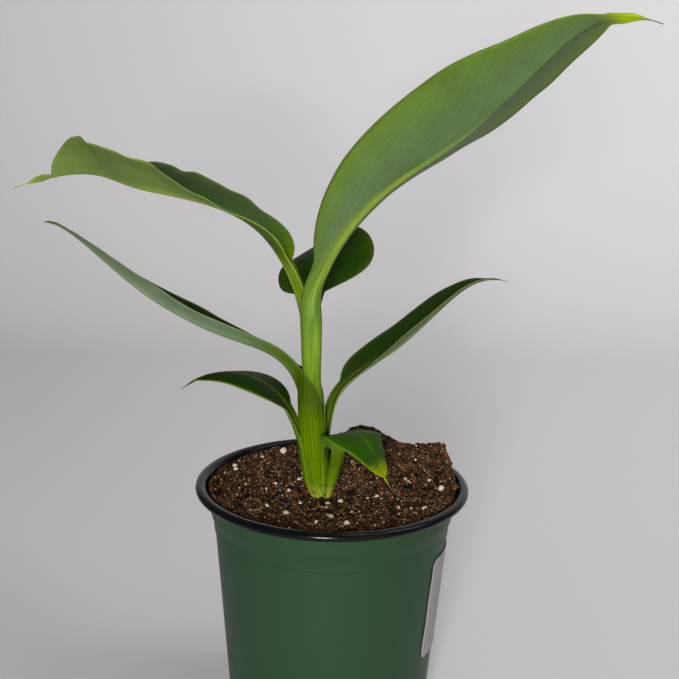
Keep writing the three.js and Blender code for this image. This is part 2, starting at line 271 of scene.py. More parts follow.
class Recipe:
    """A material in the making: its nodes and the links between them."""

    def __init__(self, name: str) -> None:
        """Start a material with a plain surface shader.

        Args:
            name: The material's name.
        """
        self.material = bpy.data.materials.new(name)
        self.material.use_nodes = True
        self.tree = self.material.node_tree
        self.shader = self.tree.nodes["Principled BSDF"]
        self._place: bpy.types.NodeSocket | None = None

    def node(self, kind: str, **settings: object) -> bpy.types.Node:
        """Add a node and set its plain properties.

        Args:
            kind: The node's type, without the words that all shader nodes share.
            **settings: Its plain properties.

        Returns:
            The node.
        """
        made = self.tree.nodes.new("ShaderNode" + kind)
        for key, value in settings.items():
            setattr(made, key, value)
        return made

    def feed(self, target: bpy.types.NodeSocket, source: object) -> None:
        """Link an output to an input, or set the input to a plain value.

        Args:
            target: The input.
            source: The output or the plain value.
        """
        if isinstance(source, bpy.types.NodeSocket):
            self.tree.links.new(source, target)
        else:
            target.default_value = source

    def surface(self, **values: object) -> None:
        """Set or link the shader's own sockets, with _ for a space in their names."""
        for key, value in values.items():
            self.feed(self.shader.inputs[key.replace("_", " ")], value)

    def place(self) -> bpy.types.NodeSocket:
        """Return the object's own coordinates.

        Returns:
            The coordinates, in metres.
        """
        if self._place is None:
            self._place = self.node("TexCoord").outputs["Object"]
        return self._place

    def number(self, name: str) -> bpy.types.NodeSocket:
        """Return a number that the mesh keeps for each vertex."""
        return self.node("Attribute", attribute_name=name).outputs["Fac"]

    def tint(self) -> bpy.types.NodeSocket:
        """Return the colour that the mesh keeps for each vertex."""
        return self.node("Attribute", attribute_name="tint").outputs["Color"]

    def sum(self, operation: str, *terms: object) -> bpy.types.NodeSocket:
        """Return the outcome of a sum on one, two or three terms.

        Args:
            operation: The sum's name.
            *terms: The terms, each a socket or a plain number.

        Returns:
            The outcome.
        """
        made = self.node("Math", operation=operation)
        for socket, term in zip(made.inputs, terms):
            self.feed(socket, term)
        return made.outputs[0]

    def pair(self, first: object, second: object) -> bpy.types.NodeSocket:
        """Return coordinates made of two numbers.

        Args:
            first: The first number, a socket or a plain one.
            second: The second one.

        Returns:
            The coordinates.
        """
        made = self.node("CombineXYZ")
        self.feed(made.inputs[0], first)
        self.feed(made.inputs[1], second)
        return made.outputs[0]

    def grain(
        self,
        scale: float,
        detail: float = 3.0,
        rough: float = 0.55,
        at: bpy.types.NodeSocket | None = None,
    ) -> bpy.types.NodeSocket:
        """Return cloudy noise.

        Args:
            scale: How many clouds fit in a unit of the coordinates.
            detail: How many finer layers it has.
            rough: How strong the finer layers are.
            at: The coordinates, or none for the object's own.

        Returns:
            A number from 0 to 1.
        """
        made = self.node("TexNoise")
        self.feed(made.inputs["Vector"], at or self.place())
        made.inputs["Scale"].default_value = scale
        made.inputs["Detail"].default_value = detail
        made.inputs["Roughness"].default_value = rough
        return made.outputs["Fac"]

    def span(
        self,
        value: bpy.types.NodeSocket,
        low: float,
        high: float,
        start: float = 0.0,
        end: float = 1.0,
    ) -> bpy.types.NodeSocket:
        """Return a number moved from one range to another.

        Args:
            value: The number.
            low: What it becomes at the start of its range, and below it.
            high: What it becomes at the end of its range, and above it.
            start: The start of its range.
            end: The end of its range.

        Returns:
            The moved number.
        """
        made = self.node("MapRange")
        self.feed(made.inputs["Value"], value)
        for name, part in zip(("From Min", "From Max", "To Min", "To Max"), (start, end, low, high)):
            made.inputs[name].default_value = part
        return made.outputs[0]

    def colours(self, share: object, one: object, other: object, kind: str = "MIX") -> bpy.types.NodeSocket:
        """Return two colours mixed by a share, each a socket or a plain colour.

        Args:
            share: How much there is of the other colour, from 0 to 1.
            one: The colour at 0.
            other: The colour at 1.
            kind: The name of the way in which they are mixed.

        Returns:
            The mixed colour.
        """
        made = self.node("Mix", data_type="RGBA", blend_type=kind)
        self.feed(made.inputs[0], share)
        for socket, value in zip((made.inputs[6], made.inputs[7]), (one, other)):
            self.feed(socket, value if isinstance(value, bpy.types.NodeSocket) else (*value, 1.0))
        return made.outputs[2]

    def shaded_tint(self, light: bpy.types.NodeSocket) -> bpy.types.NodeSocket:
        """Return the mesh's own colour, made lighter or darker by a number.

        Args:
            light: The number, where 1 leaves the colour as it is.

        Returns:
            The colour.
        """
        grey = self.node("CombineColor")
        for socket in grey.inputs[:3]:
            self.feed(socket, light)
        return self.colours(1.0, self.tint(), grey.outputs[0], "MULTIPLY")

    def relief(self, height: bpy.types.NodeSocket, depth: float) -> None:
        """Give the shader a bump whose height is a number and whose depth is in millimetres.

        Args:
            height: The height, as a plain number.
            depth: How many millimetres a height of 1 stands for.
        """
        made = self.node("Bump")
        made.inputs["Strength"].default_value = 1.0
        made.inputs["Distance"].default_value = depth * MM
        self.feed(made.inputs["Height"], height)
        self.feed(self.shader.inputs["Normal"], made.outputs[0])


@dataclass(frozen=True)
class LeafFinish:
    """Living leaf tissue: its own tint, side veins, lengthwise fibres and a soft gloss."""

    name: str
    gloss_above: float = 0.36
    gloss_below: float = 0.5
    vein_every: float = 1.7
    vein_depth: float = 0.14
    mottle: float = 0.16
    sheen: float = 0.05
    vein_contrast: float = 0.14
    vein_drift: float = 0.05
    fibre_scale: float = 1.15
    fibre_stretch: float = 0.025
    fibres_on_blade: float = 0.16
    fibre_contrast: float = 2.0
    cloud_scale: float = 70.0
    gloss_spread: float = 0.18
    ior: float = 1.42

    def material(self) -> bpy.types.Material:
        """Return the finish as a material that follows the leaf's own numbers.

        Returns:
            The material.
        """
        look = Recipe(self.name)
        across, blade = look.number("across"), look.number("blade")
        course = look.pair(look.number("vein"), look.sum("MULTIPLY", across, self.vein_drift))
        ridge = look.span(look.grain(1.0 / self.vein_every, 3.0, 0.6, course), 0.0, 1.0, 0.3, 0.7)
        veins = look.sum("MULTIPLY", ridge, blade)
        fibre = look.pair(across, look.sum("MULTIPLY", look.number("run"), self.fibre_stretch))
        streak = look.sum("SUBTRACT", look.grain(self.fibre_scale, 3.0, 0.6, fibre), 0.5)
        stalk = look.sum("SUBTRACT", 1.0, blade)
        streaks = look.sum("MULTIPLY", streak, look.span(stalk, self.fibres_on_blade, 1.0))
        cloud = look.grain(self.cloud_scale, 5.0, 0.6)
        clouds = look.span(cloud, 1 - self.mottle, 1 + self.mottle)
        light = look.sum("MULTIPLY_ADD", streaks, self.fibre_contrast, clouds)
        light = look.sum("MULTIPLY_ADD", look.sum("SUBTRACT", veins, 0.5), self.vein_contrast, light)
        gloss = look.span(look.number("upper"), self.gloss_below, self.gloss_above)
        gloss = look.sum("MULTIPLY_ADD", look.sum("SUBTRACT", cloud, 0.5), self.gloss_spread, gloss)
        look.surface(
            Base_Color=look.shaded_tint(light),
            Roughness=gloss,
            IOR=self.ior,
            Specular_IOR_Level=self.sheen,
        )
        look.relief(look.sum("MULTIPLY_ADD", veins, 0.6, look.sum("MULTIPLY", streaks, 1.6)), self.vein_depth)
        return look.material


@dataclass(frozen=True)
class GrainFinish:
    """Loose dry matter: its own tint, uneven shade and a rough face."""

    name: str
    scale: float = 900.0
    contrast: float = 0.5
    roughness: float = 0.92
    depth: float = 0.35
    patch: float = 14.0
    patch_contrast: float = 0.3
    sheen: float = 0.1

    def material(self) -> bpy.types.Material:
        """Return the finish as a material with fine uneven relief.

        Returns:
            The material.
        """
        look = Recipe(self.name)
        fine = look.grain(self.scale, 5.0, 0.65)
        grains = look.span(fine, 1 - self.contrast, 1 + self.contrast)
        broad = look.grain(self.scale / self.patch, 3.0)
        patches = look.span(broad, 1 - self.patch_contrast, 1 + self.patch_contrast)
        look.surface(
            Base_Color=look.shaded_tint(look.sum("MULTIPLY", grains, patches)),
            Roughness=self.roughness,
            Specular_IOR_Level=self.sheen,
        )
        look.relief(fine, self.depth)
        return look.material


@dataclass(frozen=True)
class MouldedFinish:
    """Moulded plastic with faint flow marks, scuffs and dust."""

    name: str
    colour: Colour
    dusty: Colour
    roughness: float
    scuffs: float = 0.12
    dust: float = 0.25
    sheen: float = 0.3
    flow_scale: float = 60.0
    flow_stretch: float = 0.12
    flow_contrast: float = 0.1
    cloud_scale: float = 24.0
    speck_scale: float = 1400.0
    depth: float = 0.03

    def material(self) -> bpy.types.Material:
        """Return the finish as a material with wear in its gloss and colour.

        Returns:
            The material.
        """
        look = Recipe(self.name)
        stretch = look.node("Mapping")
        look.feed(stretch.inputs["Vector"], look.place())
        stretch.inputs["Scale"].default_value = (1.0, 1.0, self.flow_stretch)
        flow = look.grain(self.flow_scale, 3.0, 0.5, stretch.outputs[0])
        cloud = look.grain(self.cloud_scale, 4.0)
        speck = look.grain(self.speck_scale, 2.0, 0.6)
        settled = look.span(look.sum("MULTIPLY", cloud, speck), 0.0, self.dust, 0.28, 0.5)
        colour = look.colours(look.span(flow, 0.0, self.flow_contrast), self.colour, self.dusty)
        worn, smooth = self.roughness + self.scuffs / 2, self.roughness - self.scuffs / 2
        look.surface(
            Base_Color=look.colours(settled, colour, self.dusty),
            Roughness=look.span(cloud, smooth, worn, 0.3, 0.7),
            Specular_IOR_Level=self.sheen,
        )
        look.relief(look.sum("MULTIPLY_ADD", flow, 0.4, speck), self.depth)
        return look.material


@dataclass(frozen=True)
class PaperFinish:
    """Coated paper with faint fibres and a slight sheen."""

    name: str
    colour: Colour
    shade: Colour
    tooth_scale: float = 1600.0
    cloud_scale: float = 70.0
    roughness: tuple[float, float] = (0.42, 0.56)
    depth: float = 0.02

    def material(self) -> bpy.types.Material:
        """Return the finish as a material with a fine tooth.

        Returns:
            The material.
        """
        look = Recipe(self.name)
        tooth = look.grain(self.tooth_scale, 4.0, 0.6)
        cloud = look.grain(self.cloud_scale, 2.0)
        look.surface(
            Base_Color=look.colours(look.span(cloud, 0.0, 0.5, 0.3, 0.75), self.colour, self.shade),
            Roughness=look.span(tooth, *self.roughness),
        )
        look.relief(tooth, self.depth)
        return look.material


@dataclass(frozen=True)
class Pot:
    """The nursery pot: a tapered green wall with a collar, and a black rolled rim and lining."""

    height: float = 146.0
    rim_radius: float = 76.1
    bead_half_width: float = 3.0
    bead_half_height: float = 2.4
    collar_top: tuple[float, float] = (68.8, 139.6)
    collar_foot: tuple[float, float] = (68.0, 131.6)
    shoulder: tuple[float, float] = (65.9, 124.5)
    neck: tuple[float, float] = (65.1, 120.3)
    step: float = 0.6
    base_radius: float = 55.0
    base_rounding: float = 1.5
    outer_wall: float = 0.8
    wall: float = 1.5
    floor: float = 1.8
    lining_foot: float = 96.0
    holes: int = 8
    hole_radius: float = 5.0
    hole_circle: float = 43.0
    sides: int = 160
    hole_sides: int = 32
    bead_arc: tuple[float, float] = (-130.0, 170.0)
    lip: tuple[float, float] = (70.1, 140.7)
    inner_lip: tuple[float, float] = (69.2, 140.4)
    lining_gap: float = 0.05
    corner_radius: float = 0.5
    wall_finish: MouldedFinish = MouldedFinish(
        "pot_green", tone(31, 58, 34), tone(52, 70, 48), roughness=0.46, scuffs=0.1, dust=0.12, sheen=0.24
    )
    rim_finish: MouldedFinish = MouldedFinish(
        "pot_black", tone(9, 10, 12), tone(34, 33, 31), roughness=0.17, scuffs=0.1, dust=0.06, sheen=0.17
    )

    def wall_radius(self, height: float) -> float:
        """Return the outer radius of the plain wall at a height."""
        return mix(self.base_radius, self.neck[0], height / self.neck[1])

    def section(self, inset: float, foot: float) -> list[tuple[float, float]]:
        """Return the wall's corners from a foot up to the collar's top, moved inwards.

        Args:
            inset: How far inside the outer face they lie.
            foot: The height of the lowest one.

        Returns:
            Pairs of radius and height.
        """
        low = self.neck[1] - self.step
        ledge = self.neck[0] + self.step
        step = ((self.wall_radius(low), low), self.neck, (ledge, self.neck[1] + self.step / 2))
        collar = ((ledge, step[2][1] + self.step), self.shoulder, self.collar_foot, self.collar_top)
        return [(self.wall_radius(foot) - inset, foot), *((r - inset, z) for r, z in (*step, *collar))]

    def bead(self, steps: int = 20) -> list[tuple[float, float]]:
        """Return the rolled rim's outline, from its foot outside to its foot inside.

        Args:
            steps: The number of straight pieces in it.

        Returns:
            Pairs of radius and height.
        """
        turns = (math.radians(mix(*self.bead_arc, i / steps)) for i in range(steps + 1))
        middle = (self.rim_radius - self.bead_half_width, self.height - self.bead_half_height)
        return [
            (middle[0] + self.bead_half_width * math.cos(t), middle[1] + self.bead_half_height * math.sin(t))
            for t in turns
        ]

    def spun(self, skin: Skin, section: Sequence[tuple[float, float]], closed: bool) -> None:
        """Turn a section once round the pot's axis.

        Args:
            skin: The mesh that it is added to.
            section: Pairs of radius and height.
            closed: Whether the last corner joins the first.
        """
        verts = [skin.mesh.verts.new((r * MM, 0.0, z * MM)) for r, z in section]
        pairs = list(zip(verts, verts[1:])) + ([(verts[-1], verts[0])] if closed else [])
        edges = [skin.mesh.edges.new(pair) for pair in pairs]
        bmesh.ops.spin(
            skin.mesh,
            geom=[*verts, *edges],
            cent=(0, 0, 0),
            axis=(0, 0, 1),
            angle=TURN,
            steps=self.sides,
            use_merge=True,
        )
        bmesh.ops.remove_doubles(skin.mesh, verts=skin.mesh.verts, dist=WELD)

    def ring_edges(self, skin: Skin, radius: float, height: float) -> list[bmesh.types.BMEdge]:
        """Return the edges that lie on a level circle about the axis.

        Args:
            skin: The mesh.
            radius: The circle's radius.
            height: Its height.

        Returns:
            The edges.
        """
        near = 0.01 * MM

        def on(vert: bmesh.types.BMVert) -> bool:
            """Tell whether a vertex lies on the circle."""
            away = math.hypot(vert.co.x, vert.co.y) - radius * MM
            return abs(away) < 2 * near and abs(vert.co.z - height * MM) < near

        return [edge for edge in skin.mesh.edges if on(edge.verts[0]) and on(edge.verts[1])]

    def drilled_floor(self, skin: Skin, inside: float) -> None:
        """Close the wall's two lower rings with a floor that has the drain holes.

        Args:
            skin: The wall's mesh.
            inside: The radius of the upper ring.
        """
        mesh = skin.mesh
        levels = ((self.base_radius - self.base_rounding, 0.0), (inside, self.floor))
        circles: list[list[list[bmesh.types.BMEdge]]] = []
        for radius, height in levels:
            fill = self.ring_edges(skin, radius, height)
            drilled = []
            for i in range(self.holes):
                turn = TURN * (i + 0.5) / self.holes
                at = Vector((math.cos(turn) * self.hole_circle, math.sin(turn) * self.hole_circle, height))
                made = bmesh.ops.create_circle(
                    mesh,
                    cap_ends=False,
                    segments=self.hole_sides,
                    radius=self.hole_radius * MM,
                    matrix=Matrix.Translation(at * MM),
                )
                drilled.append(list({edge for vert in made["verts"] for edge in vert.link_edges}))
            circles.append(drilled)
            bmesh.ops.triangle_fill(mesh, use_beauty=True, edges=fill + [e for ring in drilled for e in ring])
        for low, high in zip(*circles):
            bmesh.ops.bridge_loops(mesh, edges=low + high)

    def build(self) -> None:
        """Make the green wall and the black rim with its lining."""
        wall = Skin()
        foot = (self.base_radius - self.base_rounding, 0.0)
        outside = [foot, *self.section(0.0, self.base_rounding), self.lip]
        inside = [self.inner_lip, *reversed(self.section(self.outer_wall, self.floor))]
        self.spun(wall, outside + inside, closed=False)
        self.drilled_floor(wall, self.wall_radius(self.floor) - self.outer_wall)
        wall.outward()
        self.soften(wall)
        wall.piece("pot_wall", "pot", self.wall_finish.material(), ["pot"])
        rim = Skin()
        backing = self.section(self.outer_wall + self.lining_gap, self.lining_foot)
        lining = list(reversed(self.section(self.wall, self.lining_foot)))
        self.spun(rim, [*backing, *self.bead(), *lining], closed=True)
        rim.outward()
        rim.piece("pot_rim", "pot", self.rim_finish.material(), ["pot"])

    def soften(self, skin: Skin) -> None:
        """Round the level corners of the wall, but not the step's nor the drain holes'.

        Args:
            skin: The wall's mesh.
        """
        step_room, least_angle, least_length = 2.0, math.radians(8), 1.2
        sharp = [
            edge
            for edge in skin.mesh.edges
            if len(edge.link_faces) == 2
            and abs(edge.verts[0].co.z - edge.verts[1].co.z) < WELD / 2
            and abs(edge.verts[0].co.z / MM - self.neck[1]) > step_room
            and edge.calc_face_angle(0.0) > least_angle
            and edge.calc_length() > least_length * MM
        ]
        bmesh.ops.bevel(
            skin.mesh,
            geom=sharp,
            offset=self.corner_radius * MM,
            segments=3,
            profile=0.5,
            affect="EDGES",
            material=-1,
            clamp_overlap=True,
        )


@dataclass(frozen=True)
class Label:
    """A bare paper label with rounded corners, lying round the pot's wall."""

    pot: Pot
    width: float = 46.0
    height: float = 60.0
    corner: float = 5.0
    thickness: float = 0.3
    clearance: float = 0.35
    middle_height: float = 83.5
    azimuth: float = -10.0
    across: int = 30
    tall: int = 40
    lifted: float = 0.12
    # The paper's grey is painted shade: the white label is made darker for its side turned from the light.
    paper: PaperFinish = PaperFinish("label_paper_painted_shade", tone(142, 138, 140), tone(132, 129, 131))

    def flat(self, x: float, y: float) -> tuple[float, float]:
        """Return a point of the square from -1 to 1 drawn into the rounded outline.

        Args:
            x: The place across in the square.
            y: The place up in the square.

        Returns:
            The place from the label's middle, in millimetres.
        """
        w, h, r = self.width / 2, self.height / 2, self.corner
        x, y = x * w, y * h
        over_x, over_y = (abs(x) - (w - r)) / r, (abs(y) - (h - r)) / r
        if over_x <= 0 or over_y <= 0:
            return x, y
        x = math.copysign(w - r + r * over_x * math.sqrt(1 - over_y * over_y / 2), x)
        y = math.copysign(h - r + r * over_y * math.sqrt(1 - over_x * over_x / 2), y)
        return x, y

    def wrapped(self, x: float, y: float, lift: float) -> Vector:
        """Return a flat point of the label laid on the wall, lifted off it.

        Args:
            x: The place across from the label's middle.
            y: The place up from it.
            lift: How far the point is lifted.

        Returns:
            The point.
        """
        height = self.middle_height + y
        radius = self.pot.wall_radius(height) + self.clearance + lift
        turn = math.radians(self.azimuth) + x / radius
        return Vector((radius * math.cos(turn), radius * math.sin(turn), height))

    def build(self) -> None:
        """Make the label as a thin closed sheet."""
        skin = Skin()

        def place(i: int, j: int) -> Vector:
            """Return where a corner of the sheet's faces lies.

            Args:
                i: The row.
                j: The column.

            Returns:
                The place in millimetres.
            """
            x, y = self.flat(2 * i / self.across - 1, 2 * j / self.tall - 1)
            edge = max(abs(x) / self.width, abs(y) / self.height) * 2
            uneven = (1 + math.sin(x * 0.4 + y * 0.23)) / 2
            return self.wrapped(x, y, self.lifted * ramp(0.85, 1.0, edge) * uneven)

        skin.sheet(self.across, self.tall, place)
        skin.outward()
        bmesh.ops.solidify(skin.mesh, geom=skin.mesh.faces[:], thickness=self.thickness * MM)
        skin.outward()
        skin.piece("label_sheet", "label", self.paper.material(), ["label"])


@dataclass(frozen=True)
class Heap:
    """A rounded heap of soil: where it stands, how high it is and how far it spreads."""

    x: float
    y: float
    height: float
    spread: float


@dataclass(frozen=True)
class Soil:
    """The potting soil: crumbly peat with heaps, fibres and white grains.

    lumps, crumbles, fine and swell are the uneven layers of its top, each a height and a width. The
    pairs for crumbs, clods, grains and fibres are the ends of a range. A margin is how far inside the
    rim a thing stays, and rough is how far its face strays, as a share of its size.
    """

    pot: Pot
    middle_height: float = 138.4
    dish_rise: float = 5.0
    side_radius: float = 69.1
    heaps: tuple[Heap, ...] = (
        Heap(x=18, y=50, height=19, spread=15),
        Heap(x=50, y=42, height=5, spread=8),
        Heap(x=64, y=30, height=14, spread=11),
    )
    spill_azimuth: float = 27.0
    spill_width: float = 13.0
    spill_reach: float = 3.0
    divisions: int = 170
    clearance: float = 0.3
    lumps: tuple[float, float] = (1.6, 8.0)
    crumbles: tuple[float, float] = (1.3, 3.1)
    fine: tuple[float, float] = (0.5, 1.3)
    swell: tuple[float, float] = (0.8, 15.0)
    cell_middle: float = 0.42
    raised: float = 0.4
    crumbs: int = 24000
    crumbs_in_piece: int = 8000
    crumb_sizes: tuple[float, float] = (0.28, 0.72)
    crumb_lift: tuple[float, float] = (-0.1, 0.45)
    crumb_margin: float = 0.4
    crumb_rough: float = 0.55
    pale_share: float = 0.28
    clods: int = 160
    clod_sizes: tuple[float, float] = (1.1, 2.3)
    batch: int = 100
    well: float = 1.9
    well_reach: float = 13.0
    at_stem: float = 0.05
    at_spill: float = 0.08
    spill_inset: tuple[float, float] = (0.2, 0.8)
    stem_place: tuple[float, float] = (-4.5, -3.0)
    stem_size: tuple[float, float] = (7.0, 5.0)
    stem_ring: tuple[float, float] = (0.9, 1.7)
    fibres: int = 260
    fibre_lengths: tuple[float, float] = (2.0, 7.0)
    fibre_radii: tuple[float, float] = (0.07, 0.15)
    fibre_curl: float = 0.9
    fibre_rise: tuple[float, float] = (0.1, 1.3)
    fibre_margin: float = 6.0
    grains: int = 190
    grain_sizes: tuple[float, float] = (0.25, 0.9)
    grain_margin: float = 3.0
    grain_rough: float = 0.6
    seed: int = 11
    dark: Colour = tone(15, 9, 5)
    brown: Colour = tone(85, 57, 37)
    tan: Colour = tone(172, 132, 94)
    white: Colour = tone(206, 194, 172)
    placed_grains: tuple[tuple[float, float, float], ...] = (
        (-30, 55, 2.2), (-57, 28, 1.6), (-56, 22, 1.5), (-38, 44, 1.2), (-19, 16, 1.3), (-24, -1, 1.5),
        (-35, -27, 1.3), (-24, -38, 1.8), (-2, -18, 1.9), (5, -13, 1.8), (0, -39, 2.4), (8, -52, 1.9),
        (-8, -51, 1.3), (50, -31, 2.0), (61, -3, 2.0), (55, 9, 1.3), (42, 15, 1.2), (25, -6, 1.3),
        (36, -29, 1.1), (-42, 45, 1.1), (11, -30, 1.0), (-17, -21, 1.1), (-32, 9, 1.0),
    )

    def bare_height(self, x: float, y: float) -> float:
        """Return the smooth height of the soil's top.

        Args:
            x: The place to the right.
            y: The place away from the viewer.

        Returns:
            The height in millimetres.
        """
        height = self.middle_height + self.dish_rise * (x * x + y * y) / self.side_radius**2
        for heap in self.heaps:
            away = (x - heap.x) ** 2 + (y - heap.y) ** 2
            height += heap.height * math.exp(-away / (2 * heap.spread**2))
        return height

    def cells(self, x: float, y: float, form: tuple[float, float], layer: float) -> float:
        """Return how far a place lies below rounded lumps.

        Args:
            x: The place to the right.
            y: The place away from the viewer.
            form: The lumps' height and width.
            layer: A number that makes the pattern its own.

        Returns:
            The depth in millimetres, which is negative on top of a lump.
        """
        tall, wide = form
        return tall * (noise.voronoi(Vector((x / wide, y / wide, layer)))[0][0] - self.cell_middle)

    @staticmethod
    def clouds(x: float, y: float, form: tuple[float, float], layer: float) -> float:
        """Return how far a soft unevenness of a height and a width lifts a place."""
        tall, wide = form
        return tall * noise.noise(Vector((x / wide, y / wide, layer)))

    def height(self, x: float, y: float) -> float:
        """Return the crumbly height of the soil's top.

        Args:
            x: The place to the right.
            y: The place away from the viewer.

        Returns:
            The height in millimetres.
        """
        lumps, crumbs = self.cells(x, y, self.lumps, 3.1), self.cells(x, y, self.crumbles, 7.7)
        fine, swell = self.clouds(x, y, self.fine, 1.9), self.clouds(x, y, self.swell, 5.5)
        near = math.hypot(x - self.stem_place[0], y - self.stem_place[1])
        well = self.well * bell(near, self.well_reach)
        return self.bare_height(x, y) - lumps - crumbs + fine + swell + self.raised - well

    def reach(self, turn: float) -> float:
        """Return how far out the soil's top reaches at a turn about the axis.

        Args:
            turn: The turn in radians, counted from +X.

        Returns:
            The radius in millimetres.
        """
        away = math.remainder(turn - math.radians(self.spill_azimuth), TURN)
        spill = math.exp(-((away / math.radians(self.spill_width)) ** 2) / 2)
        ragged = 0.6 + 0.4 * noise.noise(Vector((turn * 25, 2.2, 0)))
        return self.side_radius + self.spill_reach * spill * ragged

    def on_top(self, x: float, y: float) -> Vector:
        """Return the point of the soil's top above a place."""
        return Vector((x, y, self.height(x, y)))

    def build(self) -> None:
        """Make the block of soil and all that lies on it."""
        self.build_block()
        chance = random.Random(self.seed)
        self.build_crumbs(chance)
        self.build_grains(chance)
        self.build_fibres(chance)

    def build_block(self) -> None:
        """Make the soil as one closed block with a crumbly top."""
        skin = Skin()
        n = self.divisions
        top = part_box("potting_soil")[1].z / MM - 0.1

        def place(i: int, j: int) -> Vector:
            """Return where a corner of the top's faces lies.

            Args:
                i: The row.
                j: The column.

            Returns:
                The place in millimetres.
            """
            x, y = 2 * i / n - 1, 2 * j / n - 1
            x, y = x * math.sqrt(1 - y * y / 2), y * math.sqrt(1 - x * x / 2)
            reach = self.reach(math.atan2(y, x)) - 0.1
            x, y = x * reach, y * reach
            return Vector((x, y, min(self.height(x, y), top)))

        skin.sheet(n, n, place)
        skin.outward()
        if sum(face.normal.z for face in skin.mesh.faces) < 0:
            bmesh.ops.reverse_faces(skin.mesh, faces=skin.mesh.faces)
        inset, foot = self.pot.wall + self.clearance, self.pot.floor + self.clearance
        for radius, height in reversed(self.pot.section(inset, foot)):
            rim = [edge for edge in skin.mesh.edges if edge.is_boundary]
            lower = bmesh.ops.extrude_edge_only(skin.mesh, edges=rim)["geom"]
            for vert in (v for v in lower if isinstance(v, bmesh.types.BMVert)):
                scale = radius * MM / math.hypot(vert.co.x, vert.co.y)
                vert.co = Vector((vert.co.x * scale, vert.co.y * scale, height * MM))
        bmesh.ops.holes_fill(skin.mesh, edges=[e for e in skin.mesh.edges if e.is_boundary], sides=0)
        skin.outward()
        for vert in skin.mesh.verts:
            shade = ramp(-0.4, 0.6, noise.noise(vert.co / MM / 5))
            vert[skin.tint] = (*blend(self.dark, self.brown, shade), 1.0)
        finish = GrainFinish("peat", scale=1100.0, contrast=0.7)
        skin.piece("soil_block", "soil", finish.material(), ["potting_soil"])

    def spot(self, chance: random.Random, margin: float) -> tuple[float, float]:
        """Return a random place on the soil, a margin inside its rim and now and then at the stem.

        Args:
            chance: The source of the random numbers.
            margin: The margin in millimetres.

        Returns:
            Its place to the right and away.
        """
        turn = chance.uniform(0, TURN)
        if chance.random() < self.at_stem:
            away = chance.uniform(*self.stem_ring)
            (x, y), (wide, deep) = self.stem_place, self.stem_size
            return x + wide * away * math.cos(turn), y + deep * away * math.sin(turn)
        radius = (self.reach(turn) - margin) * math.sqrt(chance.random())
        return radius * math.cos(turn), radius * math.sin(turn)

    def seat(self, chance: random.Random, size: float) -> Vector:
        """Return where a crumb sits: on the soil's top, or now and then on the spill's side.

        Args:
            chance: The source of the random numbers.
            size: The crumb's half size.

        Returns:
            The crumb's middle.
        """
        if chance.random() < self.at_spill:
            turn = math.radians(self.spill_azimuth + chance.gauss(0, self.spill_width))
            radius = self.reach(turn) - chance.uniform(*self.spill_inset)
            x, y = radius * math.cos(turn), radius * math.sin(turn)
            return Vector((x, y, chance.uniform(self.pot.height, max(self.height(x, y), self.pot.height))))
        x, y = self.spot(chance, size + self.crumb_margin)
        return self.on_top(x, y) + Vector((0, 0, size * chance.uniform(*self.crumb_lift)))

    def build_crumbs(self, chance: random.Random) -> None:
        """Scatter crumbs and clods of peat, each kind its own piece.

        Args:
            chance: The source of the random numbers.
        """
        finish = GrainFinish("crumbs").material()
        for first in range(0, self.crumbs, self.crumbs_in_piece):
            skin = self.scattered(chance, self.crumbs_in_piece, self.crumb_sizes, False)
            skin.piece(f"soil_crumbs_{first // self.crumbs_in_piece + 1}", "soil", finish, smooth=False)
        coarse = self.scattered(chance, self.clods, self.clod_sizes, True)
        coarse.piece("soil_clods", "soil", GrainFinish("clods", scale=1300.0, contrast=0.7).material())

    def scattered(self, chance: random.Random, count: int, sizes: tuple[float, float], big: bool) -> Skin:
        """Return a skin of crumbs scattered over the soil.

        Args:
            chance: The source of the random places and shapes.
            count: How many crumbs there are.
            sizes: The half sizes of the smallest and the largest one.
            big: Whether they are clods, which are rounder and darker.

        Returns:
            The skin with all of them.
        """
        skin = Skin()
        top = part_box("potting_soil")[1].z / MM
        for first in range(0, count, self.batch):
            batch = Skin()
            for _ in range(min(self.batch, count - first)):
                size = chance.uniform(*sizes)
                at = self.seat(chance, size)
                at.z = min(at.z, top - size)
                shape = Vector(size * chance.uniform(0.6, 1.0) for _ in range(3))
                pale = self.tan if not big and chance.random() < self.pale_share else self.brown
                tint = blend(self.dark, pale, chance.random())
                batch.lump(at, shape, 2 if big else 1, self.crumb_rough, tint, chance.uniform(0, 50))
            skin.take(batch)
        return skin

    def build_grains(self, chance: random.Random) -> None:
        """Scatter the white grains, the large ones where they show most.

        Args:
            chance: The source of the random numbers.
        """
        skin = Skin()
        spots = list(self.placed_grains)
        for _ in range(self.grains):
            spots.append((*self.spot(chance, self.grain_margin), chance.uniform(*self.grain_sizes) ** 1.3))
        for x, y, size in spots:
            at = self.on_top(x, y) + Vector((0, 0, size * 0.25))
            shape = Vector(size * chance.uniform(0.75, 1.0) for _ in range(3))
            tint = blend(self.white, self.brown, chance.uniform(0.0, 0.5))
            skin.lump(at, shape, 2, self.grain_rough, tint, chance.uniform(0, 50))
        finish = GrainFinish("white_grains", scale=1500.0, contrast=0.14, roughness=0.85, depth=0.2)
        skin.piece("soil_grains", "soil", finish.material())

